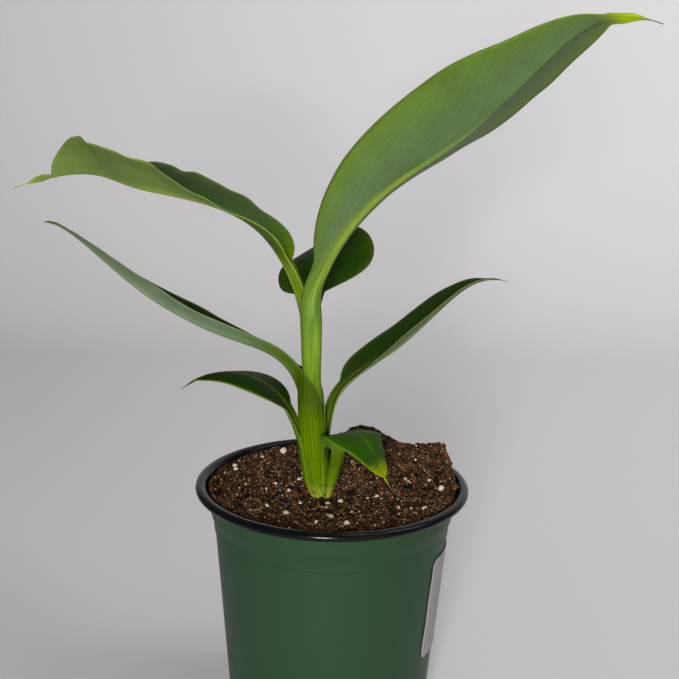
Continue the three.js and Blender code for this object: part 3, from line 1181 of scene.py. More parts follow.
    def build_fibres(self, chance: random.Random) -> None:
        """Lay thin curved fibres on the soil.

        Args:
            chance: The source of the random numbers.
        """
        skin, batch = Skin(), Skin()
        rows, around = 7, 4
        for number in range(self.fibres):
            x, y = self.spot(chance, self.fibre_margin)
            length, radius = chance.uniform(*self.fibre_lengths), chance.uniform(*self.fibre_radii)
            turn, curl = chance.uniform(0, TURN), chance.uniform(-self.fibre_curl, self.fibre_curl)
            lift, phase = chance.uniform(*self.fibre_rise), chance.uniform(0, 1)
            line = []
            for i in range(rows + 1):
                t = i / rows - 0.5
                way = turn + curl * t
                px, py = x + math.cos(way) * length * t, y + math.sin(way) * length * t
                rise = lift * (1 - (2 * t) ** 2) + 0.25 + 0.5 * phase * t
                line.append(self.on_top(px, py) + Vector((0, 0, rise)))
            tint = blend(self.brown, self.tan, chance.uniform(0.2, 1.0))
            side = Vector((-math.sin(turn), math.cos(turn), 0))

            def place(i: int, j: int) -> Vector:
                """Return where a corner of the fibre's faces lies.

                Args:
                    i: The row.
                    j: The column.

                Returns:
                    The place in millimetres.
                """
                width = radius * (0.0 if i in (0, rows) else 1.0)
                a = TURN * j / around
                return line[i] + (side * math.cos(a) + Vector((0, 0, math.sin(a)))) * width

            def dress(vert: bmesh.types.BMVert, i: int, j: int) -> None:
                """Tint a corner of the fibre."""
                vert[batch.tint] = (*tint, 1.0)

            batch.tube(rows, around, place, dress)
            if (number + 1) % self.batch == 0:
                skin.take(batch)
                batch = Skin()
        finish = GrainFinish("fibres", scale=2500.0, contrast=0.25, roughness=0.8, depth=0.05)
        skin.piece("soil_fibres", "soil", finish.material())


@dataclass(frozen=True)
class Stem:
    """The pseudostem's course, and the inside that the leaves' sheaths wrap."""

    heights: tuple[float, ...] = (132, 148, 171, 193, 208, 224, 242)
    xs: tuple[float, ...] = (-6, -8.9, -11, -12.2, -12.6, -13, -13.5)
    ys: tuple[float, ...] = (-3, -2.5, -2, -1, -0.5, 0, 0.3)
    radii: tuple[float, ...] = (3.8, 6.4, 7.3, 7.3, 5.6, 5.3, 5.3)
    core_inset: float = 2.4
    foot: float = 134.2
    top: float = 212.0

    def share(self, height: float) -> float:
        """Return where a height lies along the course, from 0 to 1.

        Args:
            height: The height in millimetres.

        Returns:
            The place along the course.
        """
        last = len(self.heights) - 1
        for i in range(last):
            if height <= self.heights[i + 1]:
                step = self.heights[i + 1] - self.heights[i]
                return (i + max(height - self.heights[i], 0.0) / step) / last
        return 1.0

    def middle(self, height: float) -> Vector:
        """Return the middle of the stem at a height."""
        t = self.share(height)
        return Vector((along_course(self.xs, t), along_course(self.ys, t), height))

    def radius(self, height: float) -> float:
        """Return the stem's outer radius at a height."""
        return along_course(self.radii, self.share(height))

    def build(self) -> None:
        """Make the stem's inside as one tapering body."""
        skin = Skin(LEAF_NUMBERS)
        rows, around = 60, 48

        def place(i: int, j: int) -> Vector:
            """Return where a corner of the stem's faces lies.

            Args:
                i: The row.
                j: The column.

            Returns:
                The place in millimetres.
            """
            height = mix(self.foot, self.top, i / rows)
            a = TURN * j / around
            radius = (self.radius(height) - self.core_inset) * (0.0 if i in (0, rows) else 1.0)
            return self.middle(height) + level(a) * radius

        def dress(vert: bmesh.types.BMVert, i: int, j: int) -> None:
            """Tint a corner of the stem and give it its numbers.

            Args:
                vert: The corner.
                i: The row.
                j: The column.
            """
            vert[skin.tint] = (*PALETTE.stem_low, 1.0)
            vert[skin.numbers["across"]] = 40.0 * j / around
            vert[skin.numbers["run"]] = mix(self.foot, self.top, i / rows)

        skin.tube(rows, around, place, dress)
        skin.outward()
        skin.piece("stem_core", "stem", LeafFinish("stem_core").material(), ["pseudostem"])


@dataclass(frozen=True)
class Palette:
    """The greens that all leaves share, what they fade to, and the heights where the stem's fade."""

    stem_low: Colour = tone(84, 113, 2)
    stem_high: Colour = tone(114, 142, 36)
    foot: Colour = tone(150, 158, 52)
    scar: Colour = tone(78, 54, 28)
    pale_rib: Colour = tone(150, 172, 66)
    lime: Colour = tone(132, 156, 44)
    dry: Colour = tone(120, 96, 66)
    rise: tuple[float, float] = (180.0, 240.0)
    foot_fade: tuple[float, float] = (137.0, 150.0)
    scar_fade: tuple[float, float] = (143.0, 150.0)


PALETTE = Palette()


def margin_line(across: float, width: float) -> float:
    """Return the strength of the line along a margin, a millimetre wide, at a place across."""
    return ramp(1 - 1.0 / max(width, 1.5), 1.0, across)


@dataclass(frozen=True)
class LeafPaint:
    """How a leaf is coloured: its two faces, its rib, its base, its margin and its tip.

    hollow is painted shade on a band of the upper face between the rib and the margin, dull tints
    the under face near the stalk, and crease_shade is painted shade along the fold past the rib's end.
    Without them, the face keeps its own colour there.
    """

    upper: Colour
    under: Colour
    rib: Colour = PALETTE.pale_rib
    base: Colour = PALETTE.stem_high
    margin: Colour = PALETTE.lime
    tip: Colour = PALETTE.lime
    dry: Colour = PALETTE.dry
    rib_strength: float = 0.8
    rib_end: float = 0.8
    rib_width: float = 1.6
    rib_widen: float = 1.0
    crease_shade: Colour | None = None
    crease_shade_strength: float = 0.75
    crease_shade_width: float = 0.7
    crease_shade_end: tuple[float, float] = (0.88, 0.95)
    painted_shade: Colour | None = None
    painted_shade_strength: float = 0.8
    painted_shade_middle: float = 0.62
    painted_shade_reach: float = 0.26
    dull: Colour | None = None
    dull_strength: float = 0.85
    dull_middle: float = 0.18
    dull_reach: float = 0.08
    base_start: float = 0.02
    base_end: float = 0.3
    margin_strength: float = 0.3
    margin_width: float = 0.3
    margin_start: float = 0.0
    edge_line: float = 0.4
    tip_start: float = 0.88

    def colour(self, u: float, across: float, width: float, above: bool) -> Colour:
        """Return the colour at a place of the blade.

        Args:
            u: The place along the leaf, from 0 at the foot to 1 at the tip.
            across: The place across, from 0 on the rib to 1 on the margin.
            width: The half width there, in millimetres.
            above: Whether the upper face is meant.

        Returns:
            The colour, before the finish adds its detail.
        """
        made = self.upper if above else self.under
        fresh = self.margin_strength * ramp(self.margin_start, self.margin_start + 0.3, u)
        made = blend(made, self.margin, fresh * ramp(1 - self.margin_width, 1.0, across))
        made = blend(made, self.base, 1 - ramp(self.base_start, self.base_end, u))
        if self.dull and not above:
            dulled = bell(u - self.dull_middle, self.dull_reach)
            made = blend(made, self.dull, self.dull_strength * dulled)
        # Painted shade: a darker band on the upper face, between the rib and the margin.
        if self.painted_shade and above:
            shade_band = ramp(0.2, 0.4, u) * bell(across - self.painted_shade_middle, self.painted_shade_reach)
            made = blend(made, self.painted_shade, self.painted_shade_strength * shade_band)
        grown = ramp(0.0, 0.1, u)
        strength = grown * self.rib_strength * (1 - ramp(self.rib_end - 0.3, self.rib_end, u))
        spread = self.rib_width * mix(self.rib_widen, 1.0, ramp(0.05, 0.45, u))
        made = blend(made, self.rib, strength * bell(across * width, spread))
        # Painted shade: a darker line along the fold past the rib's end.
        if self.crease_shade:
            crease_darkening = ramp(self.rib_end - 0.1, self.rib_end, u) * (1 - ramp(*self.crease_shade_end, u))
            crease_darkening *= bell(across * width, self.crease_shade_width)
            made = blend(made, self.crease_shade, self.crease_shade_strength * crease_darkening)
        made = blend(made, self.rib, mix(0.3, self.edge_line, grown) * margin_line(across, width))
        made = blend(made, self.tip, ramp(self.tip_start, (1 + self.tip_start) / 2, u))
        return blend(made, self.dry, ramp((1 + self.tip_start) / 2, 1.0, u))


@dataclass(frozen=True)
class Sheath:
    """How a leaf wraps the stem, from its start up to where its margins let go.

    wrap is half the angle that it covers, offset its distance off the stem's own radius and lean
    its distance outwards, all at even steps. back and edge give the runs, counted from the leaf's
    foot, between which its back and its margins leave the stem. An outer one stays outside the stem.
    """

    start: float
    wrap: tuple[float, ...]
    offset: tuple[float, ...]
    lean: tuple[float, ...] = (0.0, 0.0)
    azimuth: float | None = None
    back: tuple[float, float] = (-10.0, 0.0)
    edge: tuple[float, float] = (-2.0, 8.0)
    outer: bool = False


@dataclass(frozen=True)
class Leaf:
    """A leaf with its sheath, its stalk, its blade and the thread at its tip.

    The rib starts at foot and runs for length. heading, climb and roll are angles in degrees at
    even steps from foot to tip, and left and right are how far each half folds up from flat.
    lag is how far the wave of the left margin, in radians, runs ahead of the right one's.
    """

    name: str
    foot: tuple[float, float, float]
    length: float
    petiole: float
    tail: float
    half_width: float
    stalk: float
    thread: float
    belly: float
    fullness: float
    heading: tuple[float, ...]
    climb: tuple[float, ...]
    roll: tuple[float, ...]
    left: tuple[float, ...]
    right: tuple[float, ...]
    sheath: Sheath
    paint: LeafPaint
    finish: LeafFinish
    bend: tuple[float, ...] = (45, 10, -20, -20, -10)
    blade_thickness: float = 0.6
    blade_edge: float = 0.35
    stalk_thickness: float = 1.8
    stalk_edge: float = 0.6
    groove: float = 0.35
    groove_reach: float = 0.9
    keel: float = 1.3
    wave: float = 0.2
    wave_length: float = 38.0
    lag: float = 2.1
    vein_slope: float = 1.8
    spindle: float = 0.0
    thread_end: float = 0.25
    rolled_end: float = 0.0
    strips: int = 15
    row_length: float = 2.0

    def axes(self, u: float) -> tuple[Vector, Vector, Vector]:
        """Return the rib's direction at u and the blade's side and up directions there.

        Args:
            u: The place along the leaf, from 0 at the foot to 1 at the tip.

        Returns:
            The directions along, to the left and up, each of length 1.
        """
        courses = (self.heading, self.climb, self.roll)
        heading, climb, roll = (math.radians(along_course(course, u)) for course in courses)
        level_run = math.cos(climb)
        along = Vector((level_run * math.cos(heading), level_run * math.sin(heading), math.sin(climb)))
        side = Vector((-math.sin(heading), math.cos(heading), 0.0))
        turn = Matrix.Rotation(roll, 3, along)
        return along, turn @ side, turn @ along.cross(side)

    def rib(self, steps: int = 192) -> list[Vector]:
        """Return the rib as a chain of short even steps from the foot.

        Args:
            steps: The number of steps.

        Returns:
            The points, one more than there are steps.
        """
        points = [Vector(self.foot)]
        for i in range(steps):
            points.append(points[-1] + self.axes((i + 0.5) / steps)[0] * (self.length / steps))
        return points

    @property
    def waist(self) -> float:
        """Return half the width where the blade ends and its rolled tip begins."""
        return max(self.thread, self.rolled_end)

    def blade_share(self, u: float) -> float:
        """Return how far along the blade u lies, from 0 at its base to 1 at its end."""
        start, end = self.petiole / self.length, 1 - self.tail / self.length
        return (u - start) / (end - start)

    def half_width_at(self, u: float) -> float:
        """Return half the flat width at u, from the stalk over the blade to the thread.

        Args:
            u: The place along the leaf, from 0 at the foot to 1 at the tip.

        Returns:
            The half width in millimetres.
        """
        s = self.blade_share(u)
        if s > 1:
            past = (u - 1) * self.length / self.tail + 1
            rolled = self.spindle * math.sin(math.pi * min(past / 0.6, 1.0)) ** 0.8
            return mix(self.waist, self.thread_end, ramp(0.05, 0.8, past)) + rolled
        sine = max(math.sin(math.pi * max(s, 0.0) ** self.belly), 0.0)
        least = self.stalk if s < 0.5 else self.waist
        return ((self.half_width * sine**self.fullness) ** 6 + least**6) ** (1 / 6)

    def shares(self) -> list[float]:
        """Return the places across a half, from 0 on the rib to 1 on the margin, closer at the rib."""
        return [(k / self.strips) ** 1.5 for k in range(self.strips + 1)]

    def section(self, u: float, start: Vector) -> list[Vector]:
        """Return the points across the leaf at u, from the right margin to the left one.

        Args:
            u: The place along the leaf, from 0 at the foot to 1 at the tip.
            start: The point on the rib.

        Returns:
            The points.
        """
        _, side, up = self.axes(u)
        width, bend = self.half_width_at(u), along_course(self.bend, u)
        shares = self.shares()
        row = [start.copy()]
        for hand, folds in ((1, self.left), (-1, self.right)):
            point, fold = start.copy(), along_course(folds, u)
            for k in range(self.strips):
                angle = math.radians(fold + bend * (shares[k] + shares[k + 1]) / 2)
                step = width * (shares[k + 1] - shares[k])
                point = point + side * (hand * step * math.cos(angle)) + up * (step * math.sin(angle))
                if hand > 0:
                    row.append(point)
                else:
                    row.insert(0, point)
        return row

    def drawn_run(self, place: float) -> float:
        """Return the distance from the leaf's foot, below nought on the sheath."""
        return place * (self.length if place > 0 else self.foot[2] - self.sheath.start)

    def held_row(self, stem: Stem, place: float, own: list[Vector]) -> list[Vector]:
        """Return the points across the leaf where it wraps the stem or is about to let go of it.

        Args:
            stem: The stem that it wraps.
            place: The place along the leaf, from -1 at the sheath's start over 0 at the foot.
            own: The points that the free stalk would have there.

        Returns:
            As many points, from the right margin to the left one.
        """
        sheath, foot = self.sheath, Vector(self.foot)
        run = self.drawn_run(place)
        height = foot.z + run
        share = (height - sheath.start) / (foot.z + sheath.edge[1] - sheath.start)
        out = foot - stem.middle(foot.z)
        azimuth = math.atan2(out.y, out.x) if sheath.azimuth is None else math.radians(sheath.azimuth)
        middle = stem.middle(height) + level(azimuth) * along_course(sheath.lean, share)
        wrap = math.radians(along_course(sheath.wrap, share))
        radius = stem.radius(height) + along_course(sheath.offset, share)
        back, margin = ramp(*sheath.back, run), ramp(*sheath.edge, run)
        row = []
        for k, point in enumerate(own):
            s = 2 * k / (len(own) - 1) - 1
            turn = azimuth + s * wrap
            around = middle + level(turn) * radius
            point = around.lerp(point, mix(back, margin, abs(s) ** 1.5))
            off = Vector((point.x - middle.x, point.y - middle.y, 0))
            if sheath.outer and off.length < radius:
                point = point + off * (radius / off.length - 1)
            row.append(point)
        return row

    def stations(self) -> list[float]:
        """Return the places of the rows along the leaf, from -1 at the sheath's start to 1.

        Returns:
            The places, in order.
        """
        start, end = self.petiole / self.length, 1 - self.tail / self.length
        sheath = max(int((self.foot[2] - self.sheath.start) / self.row_length), 6)
        places = [i / sheath - 1 for i in range(sheath)]
        spans = ((0.0, start, self.petiole), (start, end, (end - start) * self.length), (end, 1.0, self.tail))
        for low, high, run in spans:
            count = max(int(run / self.row_length), 4)
            places += [mix(low, high, i / count) for i in range(count)]
        return [*places, 1.0]

    @staticmethod
    def reach(row: Sequence[Vector]) -> tuple[float, float]:
        """Return how far the right and the left margin of a row lie from the rib, measured on the leaf.

        Args:
            row: The points across the leaf.

        Returns:
            The length on the right and on the left.
        """
        steps = [(after - before).length for before, after in zip(row, row[1:])]
        half = len(steps) // 2
        return sum(steps[:half]), sum(steps[half:])

    def surface(self, stem: Stem, places: Sequence[float]) -> list[list[Vector]]:
        """Return the leaf's middle surface, row by row from the sheath's start to the tip.

        Args:
            stem: The stem that it wraps.
            places: The places of the rows.

        Returns:
            The rows, each from the right margin to the left one.
        """
        rib = self.rib()
        along = self.axes(0.0)[0]
        rows = []
        for place in places:
            step = min(int(max(place, 0.0) * (len(rib) - 1)), len(rib) - 2)
            start = rib[step].lerp(rib[step + 1], max(place, 0.0) * (len(rib) - 1) - step)
            if place < 0:
                start = start + along * self.drawn_run(place)
            row = self.section(max(place, 0.0), start)
            if self.drawn_run(place) < max(self.sheath.back[1], self.sheath.edge[1]):
                row = self.held_row(stem, place, row)
            rows.append(row)
        return rows

    def thickness(self, place: float, across: float) -> float:
        """Return the leaf's thickness at a place, which is thin on the blade and at margins.

        Args:
            place: The place along the leaf, from -1 at the sheath's start to 1.
            across: The place across, from 0 on the rib to 1 on the margin.

        Returns:
            The thickness in millimetres.
        """
        stalk = mix(self.stalk_thickness, self.stalk_edge, across**1.5)
        if place < 0:
            return stalk * mix(0.75, 1.0, ramp(-0.5, 0.0, place))
        s = self.blade_share(place)
        blade = mix(self.blade_thickness, self.blade_edge, across)
        thick = mix(stalk, blade, ramp(-0.1, 0.2, s))
        return mix(thick, 0.9 * self.half_width_at(place), ramp(0.97, 1.05, s))

    def build(self, stem: Stem) -> None:
        """Make the leaf as one closed skin, from its sheath to its tip.

        Args:
            stem: The stem that it wraps.
        """
        skin = Skin(LEAF_NUMBERS)
        places = self.stations()
        surface = self.surface(stem, places)
        reach = [self.reach(row) for row in surface]
        shares = self.shares()
        across = [-s for s in reversed(shares)] + shares[1:]
        count = len(across)
        last = len(places) - 1
        seed = sum(map(ord, self.name)) % 97

        def corner(i: int, j: int) -> tuple[int, int, bool]:
            """Return the row and the column of the middle surface, and whether the face is upper."""
            above = j < count
            return min(max(i - 1, 0), last), j if above else 2 * count - 1 - j, above

        def facing(i: int, k: int) -> Vector:
            """Return the upward direction off the middle surface at a row and a column.

            Args:
                i: The row.
                k: The column.

            Returns:
                The direction, of length 1.
            """
            along = surface[min(i + 1, last)][k] - surface[max(i - 1, 0)][k]
            over = surface[i][min(k + 1, count - 1)] - surface[i][max(k - 1, 0)]
            return along.cross(over).normalized()

        def place(i: int, j: int) -> Vector:
            """Return where a corner of the skin's faces lies.

            Args:
                i: The row.
                j: The column.

            Returns:
                The place in millimetres.
            """
            row, k, above = corner(i, j)
            u, point, up = places[row], surface[row][k], facing(row, k)
            width = reach[row][int(across[k] > 0)]
            s = self.blade_share(u) if u > 0 else -1.0
            flutter = self.wave * ramp(0.02, 0.3, s) * (1 - ramp(0.8, 1.0, s)) * abs(across[k]) ** 2
            phase = u * self.length / self.wave_length * TURN + (self.lag if across[k] > 0 else 0.0) + seed
            point = point + up * (flutter * (math.sin(phase) + 0.4 * math.sin(1.7 * phase)))
            if i in (0, last + 2):
                return point
            half = self.thickness(u, abs(across[k])) / 2
            if above:
                groove = self.groove * ramp(0.0, 0.15, s) * (1 - ramp(0.7, 0.95, s))
                return point + up * (half - groove * bell(across[k] * width, self.groove_reach))
            grown = ramp(0.0, self.petiole + 10, self.drawn_run(u)) * (1 - ramp(0.95, 1.0, s))
            keel = self.keel * mix(1.0, 0.18, ramp(0.0, 0.95, s)) * grown
            swell = mix(2.2, 0.7, ramp(0.0, 0.9, s)) * self.keel
            return point - up * (half + keel * bell(across[k] * width, swell))

        def dress(vert: bmesh.types.BMVert, i: int, j: int) -> None:
            """Tint a corner of the skin and give it its numbers.

            Args:
                vert: The corner.
                i: The row.
                j: The column.
            """
            row, k, above = corner(i, j)
            u, offset, run = places[row], across[k], self.drawn_run(places[row])
            width = reach[row][int(offset > 0)]
            blade = ramp(0.0, 0.12, self.blade_share(u)) if u > 0 else 0.0
            vert[skin.tint] = (*self.tint_at(u, offset, width, above, surface[row][k]), 1.0)
            vert[skin.numbers["across"]] = offset * width
            vert[skin.numbers["run"]] = run
            vert[skin.numbers["vein"]] = run - self.vein_slope * abs(offset) * width
            vert[skin.numbers["blade"]] = blade
            vert[skin.numbers["upper"]] = float(above)

        skin.tube(last + 2, 2 * count, place, dress)
        skin.outward()
        replaced = [self.name, "pseudostem"]
        skin.piece(f"{self.name}_blade", self.name, self.finish.material(), replaced)

    def tint_at(self, u: float, across: float, width: float, above: bool, at: Vector) -> Colour:
        """Return the colour of the leaf or its sheath at a place.

        Args:
            u: The place along the leaf, below nought on the sheath.
            across: The place across, from -1 to 1, which is 0 on the rib.
            width: The half width there, in millimetres.
            above: Whether the upper face is meant.
            at: The place in millimetres.

        Returns:
            The colour.
        """
        if u >= 0:
            return self.paint.colour(u, abs(across), width, above)
        sheath = blend(PALETTE.stem_low, PALETTE.stem_high, ramp(*PALETTE.rise, at.z))
        own = ramp(-0.35, 0.0, u)
        sheath = blend(sheath, self.paint.base, own)
        margin = blend(PALETTE.pale_rib, self.paint.rib, own)
        sheath = blend(sheath, margin, 0.3 * margin_line(abs(across), width))
        sheath = blend(sheath, PALETTE.foot, 0.7 * (1 - ramp(*PALETTE.foot_fade, at.z)))
        marks = ramp(0.25, 0.4, noise.noise(at / 3.2) + 0.25 * noise.noise(at / 1.1))
        return blend(sheath, PALETTE.scar, 0.85 * marks * (1 - ramp(*PALETTE.scar_fade, at.z)))


class Growth(Enum):
    """The kinds of leaf by how old they are, with the finish that each age has."""

    YOUNG = LeafFinish(
        "young_leaf", gloss_above=0.36, gloss_below=0.42, vein_every=2.0, vein_depth=0.2, mottle=0.22,
        sheen=0.1, vein_contrast=0.2,
    )
    OPEN = LeafFinish(
        "open_leaf", gloss_above=0.4, gloss_below=0.46, vein_every=1.8, vein_depth=0.2, mottle=0.24,
        sheen=0.03, vein_contrast=0.2,
    )
    GROWN = LeafFinish(
        "grown_leaf", gloss_above=0.38, gloss_below=0.5, vein_every=1.6, vein_depth=0.16, mottle=0.2,
        sheen=0.03,
    )
    OLD = LeafFinish(
        "old_leaf", gloss_above=0.38, gloss_below=0.48, vein_every=1.5, vein_depth=0.16, mottle=0.24,
        sheen=0.02,
    )


def leaves() -> list[Leaf]:
    """Return the seven leaves, from the youngest to the oldest.

    Returns:
        The leaves, with their sizes and colours.
    """
    return [
        Leaf(
            "leaf_top_right", foot=(-13.5, 0, 241), length=253, petiole=22, tail=26, half_width=35,
            stalk=8, thread=1.6, belly=0.9, fullness=0.7,
            heading=(-8, -10, -23, -35, -40, -42), climb=(77, 55, 35, 41, 38, -17),
            roll=(-54, -51, -43, -30, -41), left=(25, 44, 55, 36, -1), right=(32, 50, 53, 23, 1),
            sheath=Sheath(start=160, wrap=(178, 178, 178, 178, 160, 125, 100),
                          offset=(-2.0, -2.0, -2.0, -0.8, -0.2, 0.2, 0.3),
                          azimuth=-62, back=(-4, 26), edge=(-6, 22)),
            paint=LeafPaint(tone(58, 86, 20), tone(81, 101, 62), base=tone(100, 130, 40), base_end=0.14,
                            margin=tone(90, 116, 40), rib=tone(114, 138, 40), rib_strength=0.85, rib_end=0.64,
                            # The darker colour of the rib past its end is painted shade along the fold.
                            rib_width=0.8, rib_widen=5.5, crease_shade=tone(56, 78, 22), margin_strength=0.9,
                            margin_width=0.8, margin_start=-0.1, edge_line=0.3, tip=tone(150, 176, 6),
                            tip_start=0.87),
            finish=Growth.YOUNG.value, rolled_end=3.6, vein_slope=3.0,
        ),
        Leaf(
            "leaf_upper_left", foot=(-18, 4, 236), length=277, petiole=35, tail=28, half_width=34,
            stalk=5.5, thread=1.6, belly=1.15, fullness=0.42,
            heading=(128, 129, 146, 146, 130, 146, 184), climb=(73, 34, 12, 3, 5, -8, -20),
            roll=(53, 13, 7, 9, 33), left=(56, 8, 45, 61, 92), right=(42, 4, 31, 35, 42),
            sheath=Sheath(start=185, wrap=(60, 60, 58, 40), offset=(-1.6, -1.2, -0.6, 0.0), edge=(-2, 12)),
            paint=LeafPaint(tone(54, 91, 5), tone(106, 128, 62), base=tone(92, 120, 6), base_end=0.34,
                            # The grey-green band colour of the upper face is painted shade.
                            painted_shade=tone(56, 65, 36), dull=tone(62, 80, 24), rib_strength=0.5,
                            margin_strength=0.05, edge_line=0.5, tip=tone(130, 150, 30), tip_start=0.92),
            finish=Growth.OPEN.value, wave=0.7, spindle=1.7, vein_slope=3.0,
        ),
        Leaf(
            "leaf_back", foot=(-13.5, 9, 231), length=113, petiole=38, tail=6, half_width=31,
            stalk=3.6, thread=1.2, belly=0.8, fullness=0.6,
            heading=(85, 84, 82, 84, 85), climb=(26, 16, 25, 17, 6), roll=(-2, -7, -8, -17),
            left=(16, -4, 1, -4), right=(21, 17, 27, 37),
            sheath=Sheath(start=185, wrap=(60, 60, 50, 40), offset=(-1.6, -1.2, -0.6, 0.0)),
            paint=LeafPaint(tone(32, 56, 5), tone(46, 64, 34), rib=tone(70, 92, 36), rib_strength=0.35,
                            base=tone(70, 96, 20), base_end=0.3, margin_strength=0.05, edge_line=0.2,
                            tip_start=0.95),
            finish=Growth.OLD.value,
        ),
        Leaf(
            "leaf_middle_left", foot=(-19, 1, 196), length=194, petiole=30, tail=12, half_width=14,
            stalk=5, thread=1.3, belly=0.9, fullness=0.7,
            heading=(180, 178, 176, 210, 237, 267), climb=(77, 19, 26, 41, 36, 7),
            roll=(31, 8, 2, -8, -13), left=(40, 40, 42, 17, -3), right=(26, 31, 36, 27, 23),
            sheath=Sheath(start=133.5, wrap=(178, 178, 178, 178, 176, 152, 110, 12),
                          offset=(-0.9, -0.6, -0.6, -0.6, -0.6, -0.4, 0.2, 0.4), edge=(10, 20), outer=True),
            paint=LeafPaint(tone(30, 54, 12), tone(100, 117, 88), rib=tone(120, 138, 92), rib_strength=0.3,
                            base=tone(60, 83, 4), base_start=0.1, base_end=0.34, margin_strength=0.05,
                            tip=tone(106, 114, 58)),
            finish=Growth.GROWN.value,
        ),
        Leaf(
            "leaf_right", foot=(-3.5, 2.5, 167.5), length=163, petiole=38, tail=14, half_width=18,
            stalk=3.6, thread=1.2, belly=0.9, fullness=0.7,
            heading=(83, 62, 25, 16, 19, 24), climb=(76, 25, 27, 41, 33, -18),
            roll=(-8, 0, -3, -4, -3), left=(24, 24, 31, 28, 24), right=(26, 26, 39, 35, 30),
            sheath=Sheath(start=133.5, wrap=(90, 90, 90, 82, 50),
                          offset=(-0.4, 0.2, 0.4, 0.6, 1.2), edge=(-2, 12)),
            paint=LeafPaint(tone(29, 49, 11), tone(100, 116, 80), base=tone(56, 78, 6), base_start=0.1,
                            base_end=0.34, rib_strength=0.15, margin_strength=0.05, edge_line=0.3,
                            tip=tone(80, 92, 40)),
            finish=Growth.GROWN.value,
        ),
        Leaf(
            "leaf_low_left", foot=(-18.5, -1.5, 166.5), length=94, petiole=22, tail=10, half_width=16,
            stalk=4, thread=1, belly=0.9, fullness=0.7,
            heading=(181, 184, 197, 206, 217), climb=(79, 62, 29, -1, -31),
            roll=(-16, -13, -3, 5, 7), left=(20, -1, -10, -12, -10), right=(27, 21, 7, -9, -18),
            sheath=Sheath(start=133.5, wrap=(50, 50, 45, 30), offset=(-0.6, 0.1, 0.3, 0.4), edge=(-2, 10)),
            paint=LeafPaint(tone(22, 45, 3), tone(76, 98, 50), base=tone(76, 104, 14), base_end=0.34,
                            rib_strength=0.15, margin_strength=0.05, edge_line=0.3, tip=tone(72, 78, 32)),
            finish=Growth.OLD.value, row_length=1.5,
        ),
        Leaf(
            "leaf_low_front", foot=(1.3, -4, 159.9), length=65, petiole=6, tail=8, half_width=21.3,
            stalk=4, thread=0.9, belly=0.85, fullness=0.5,
            heading=(4, -29, -42, -34, -35, -52), climb=(112, 53, 3, -53, -55, -38),
            roll=(13, -11, -5, -8, -16), left=(3, 0, 3, 1), right=(3, -3, 15, 19),
            sheath=Sheath(start=133.5, wrap=(150, 150, 150, 145, 135, 125, 115),
                          offset=(-2.2, -3.1, -3.4, -3.7, -3.3, -3.2, -3.3),
                          lean=(2.1, 5.2, 8.0, 10.1, 12.0, 13.0, 13.6), back=(6, 16), edge=(4, 14)),
            paint=LeafPaint(tone(42, 80, 2), tone(84, 108, 38), base=tone(74, 94, 10), base_end=0.22,
                            rib=tone(90, 130, 20), rib_strength=0.3, margin_strength=0.05, edge_line=0.7,
                            tip=tone(150, 166, 6), tip_start=0.7),
            finish=Growth.OLD.value, row_length=1.2,
        ),
    ]


@dataclass(frozen=True)
class View:
    """The camera: where it stands, how it is turned and how long its lens is."""

    place: tuple[float, float, float] = (0.0, -632.0, 386.6)
    focal_pixels: float = 1200.0
    frame_pixels: float = 679.0
    yaw: float = 0.21
    pitch: float = 14.14
    roll: float = 1.30

    def build(self) -> None:
        """Make the camera and set it as the scene's own."""
        yaw, pitch, roll = (math.radians(v) for v in (self.yaw, self.pitch, self.roll))
        ahead = Vector((math.sin(yaw) * math.cos(pitch), math.cos(yaw) * math.cos(pitch), -math.sin(pitch)))
        right = Vector((math.cos(yaw), -math.sin(yaw), 0.0))
        up = right.cross(ahead)
        lean, rest = math.sin(roll), math.cos(roll)
        right, up = right * rest + up * lean, up * rest - right * lean
        data = bpy.data.cameras.new("camera")
        data.sensor_fit = "HORIZONTAL"
        data.lens = data.sensor_width * self.focal_pixels / self.frame_pixels
        data.clip_start, data.clip_end = 0.01, 50.0
        made = shown("camera", data)
        turn = Matrix((right, up, -ahead)).transposed().to_4x4()
        made.matrix_world = Matrix.Translation(Vector(self.place) * MM) @ turn
        bpy.context.scene.camera = made


@dataclass(frozen=True)
class Lamp:
    """A soft light: where it hangs, its size in metres and its power in watts.

    A hooded one throws a cone, given in degrees, with an edge that is a share of it.
    """

    name: str
    place: tuple[float, float, float]
    size: float
    power: float
    aim: tuple[float, float, float] = (0.0, 0.0, 0.2)
    cone: float = 0.0
    edge: float = 0.25

    def build(self) -> None:
        """Hang the light and turn it to its aim."""
        data = bpy.data.lights.new(self.name, "SPOT" if self.cone else "AREA")
        data.energy = self.power
        if self.cone:
            data.shadow_soft_size = self.size / 2
            data.spot_size, data.spot_blend = math.radians(self.cone), self.edge
        else:
            data.shape, data.size = "SQUARE", self.size
        turn = (Vector(self.place) - Vector(self.aim)).to_track_quat("Z", "Y").to_matrix().to_4x4()
        shown(self.name, data).matrix_world = Matrix.Translation(Vector(self.place)) @ turn


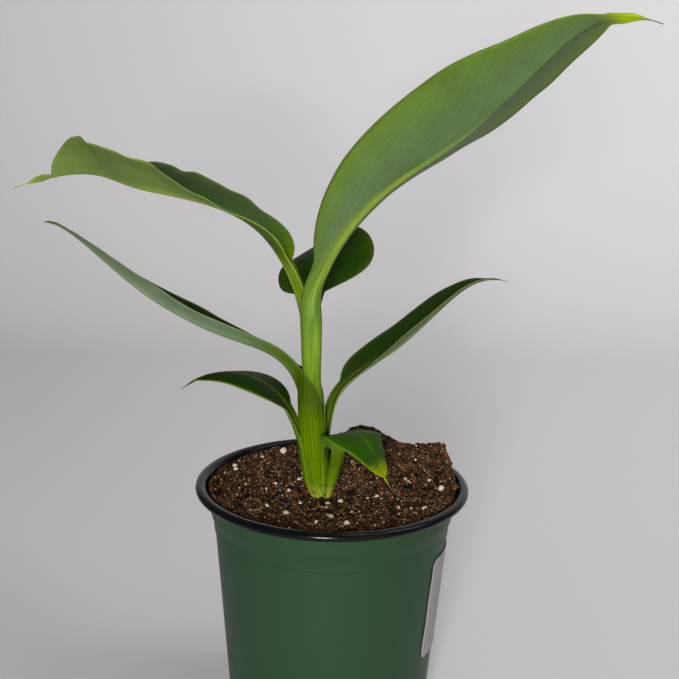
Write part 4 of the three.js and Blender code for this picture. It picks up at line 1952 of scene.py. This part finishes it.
@dataclass(frozen=True)
class Studio:
    """The plain pale floor that curves up behind the plant, and the soft lights, in metres."""

    half_width: float = 3.0
    front: float = -3.0
    back: float = 1.3
    bend_radius: float = 0.5
    top: float = 2.6
    bend_steps: int = 12
    floor_colour: Colour = tone(212, 210, 211)
    sky_colour: Colour = (0.9, 0.92, 0.95)
    sky_strength: float = 0.08
    lamps: tuple[Lamp, ...] = (
        Lamp(
            "key_light", place=(-0.16, -1.5, 0.45), size=0.3, power=114.0, aim=(0.02, 0.0, 0.25),
            cone=46.0, edge=0.2,
        ),
        Lamp("fill_light", place=(1.3, -2.4, 1.1), size=1.4, power=4.0),
        Lamp("back_light", place=(0.8, 0.1, 1.5), size=1.4, power=20.5, aim=(0.75, 1.3, 1.0)),
    )

    def outline(self) -> list[tuple[float, float]]:
        """Return the floor's outline from the side, as pairs of depth and height.

        Returns:
            The corners, from the front to the top.
        """
        bend = self.back - self.bend_radius
        line = [(self.front, 0.0), (bend, 0.0)]
        for i in range(1, self.bend_steps + 1):
            turn = math.pi / 2 * i / self.bend_steps
            reach, rise = self.bend_radius * math.sin(turn), self.bend_radius * (1 - math.cos(turn))
            line.append((bend + reach, rise))
        return [*line, (self.back, self.top)]

    def build_floor(self) -> None:
        """Make the floor."""
        mesh = bmesh.new()
        line = self.outline()
        verts = [mesh.verts.new((-self.half_width, y, z)) for y, z in line]
        edges = [mesh.edges.new(pair) for pair in zip(verts, verts[1:])]
        pulled = bmesh.ops.extrude_edge_only(mesh, edges=edges)["geom"]
        moved = [v for v in pulled if isinstance(v, bmesh.types.BMVert)]
        bmesh.ops.translate(mesh, verts=moved, vec=(2 * self.half_width, 0, 0))
        bmesh.ops.recalc_face_normals(mesh, faces=mesh.faces)
        for face in mesh.faces:
            face.smooth = True
        data = bpy.data.meshes.new("floor")
        mesh.to_mesh(data)
        mesh.free()
        floor = shown("floor", data)
        paint = Recipe("pale_floor")
        paint.surface(Base_Color=(*self.floor_colour, 1.0), Roughness=0.85)
        data.materials.append(paint.material)

    def build(self) -> None:
        """Make the floor, the lights and the soft surrounding light."""
        self.build_floor()
        for lamp in self.lamps:
            lamp.build()
        world = bpy.data.worlds.new("soft_sky")
        world.use_nodes = True
        sky = world.node_tree.nodes["Background"].inputs
        sky["Color"].default_value = (*self.sky_colour, 1.0)
        sky["Strength"].default_value = self.sky_strength
        bpy.context.scene.world = world
        bpy.context.scene.view_settings.view_transform = "Standard"


def main() -> None:
    """Build the potted plant and its studio."""
    logging.basicConfig(level=logging.INFO, format="%(name)s %(message)s")
    pot = Pot()
    pot.build()
    Label(pot).build()
    Soil(pot).build()
    stem = Stem()
    stem.build()
    for leaf in leaves():
        leaf.build(stem)
    View().build()
    Studio().build()
    bpy.context.view_layer.update()


if __name__ == "__main__":
    main()
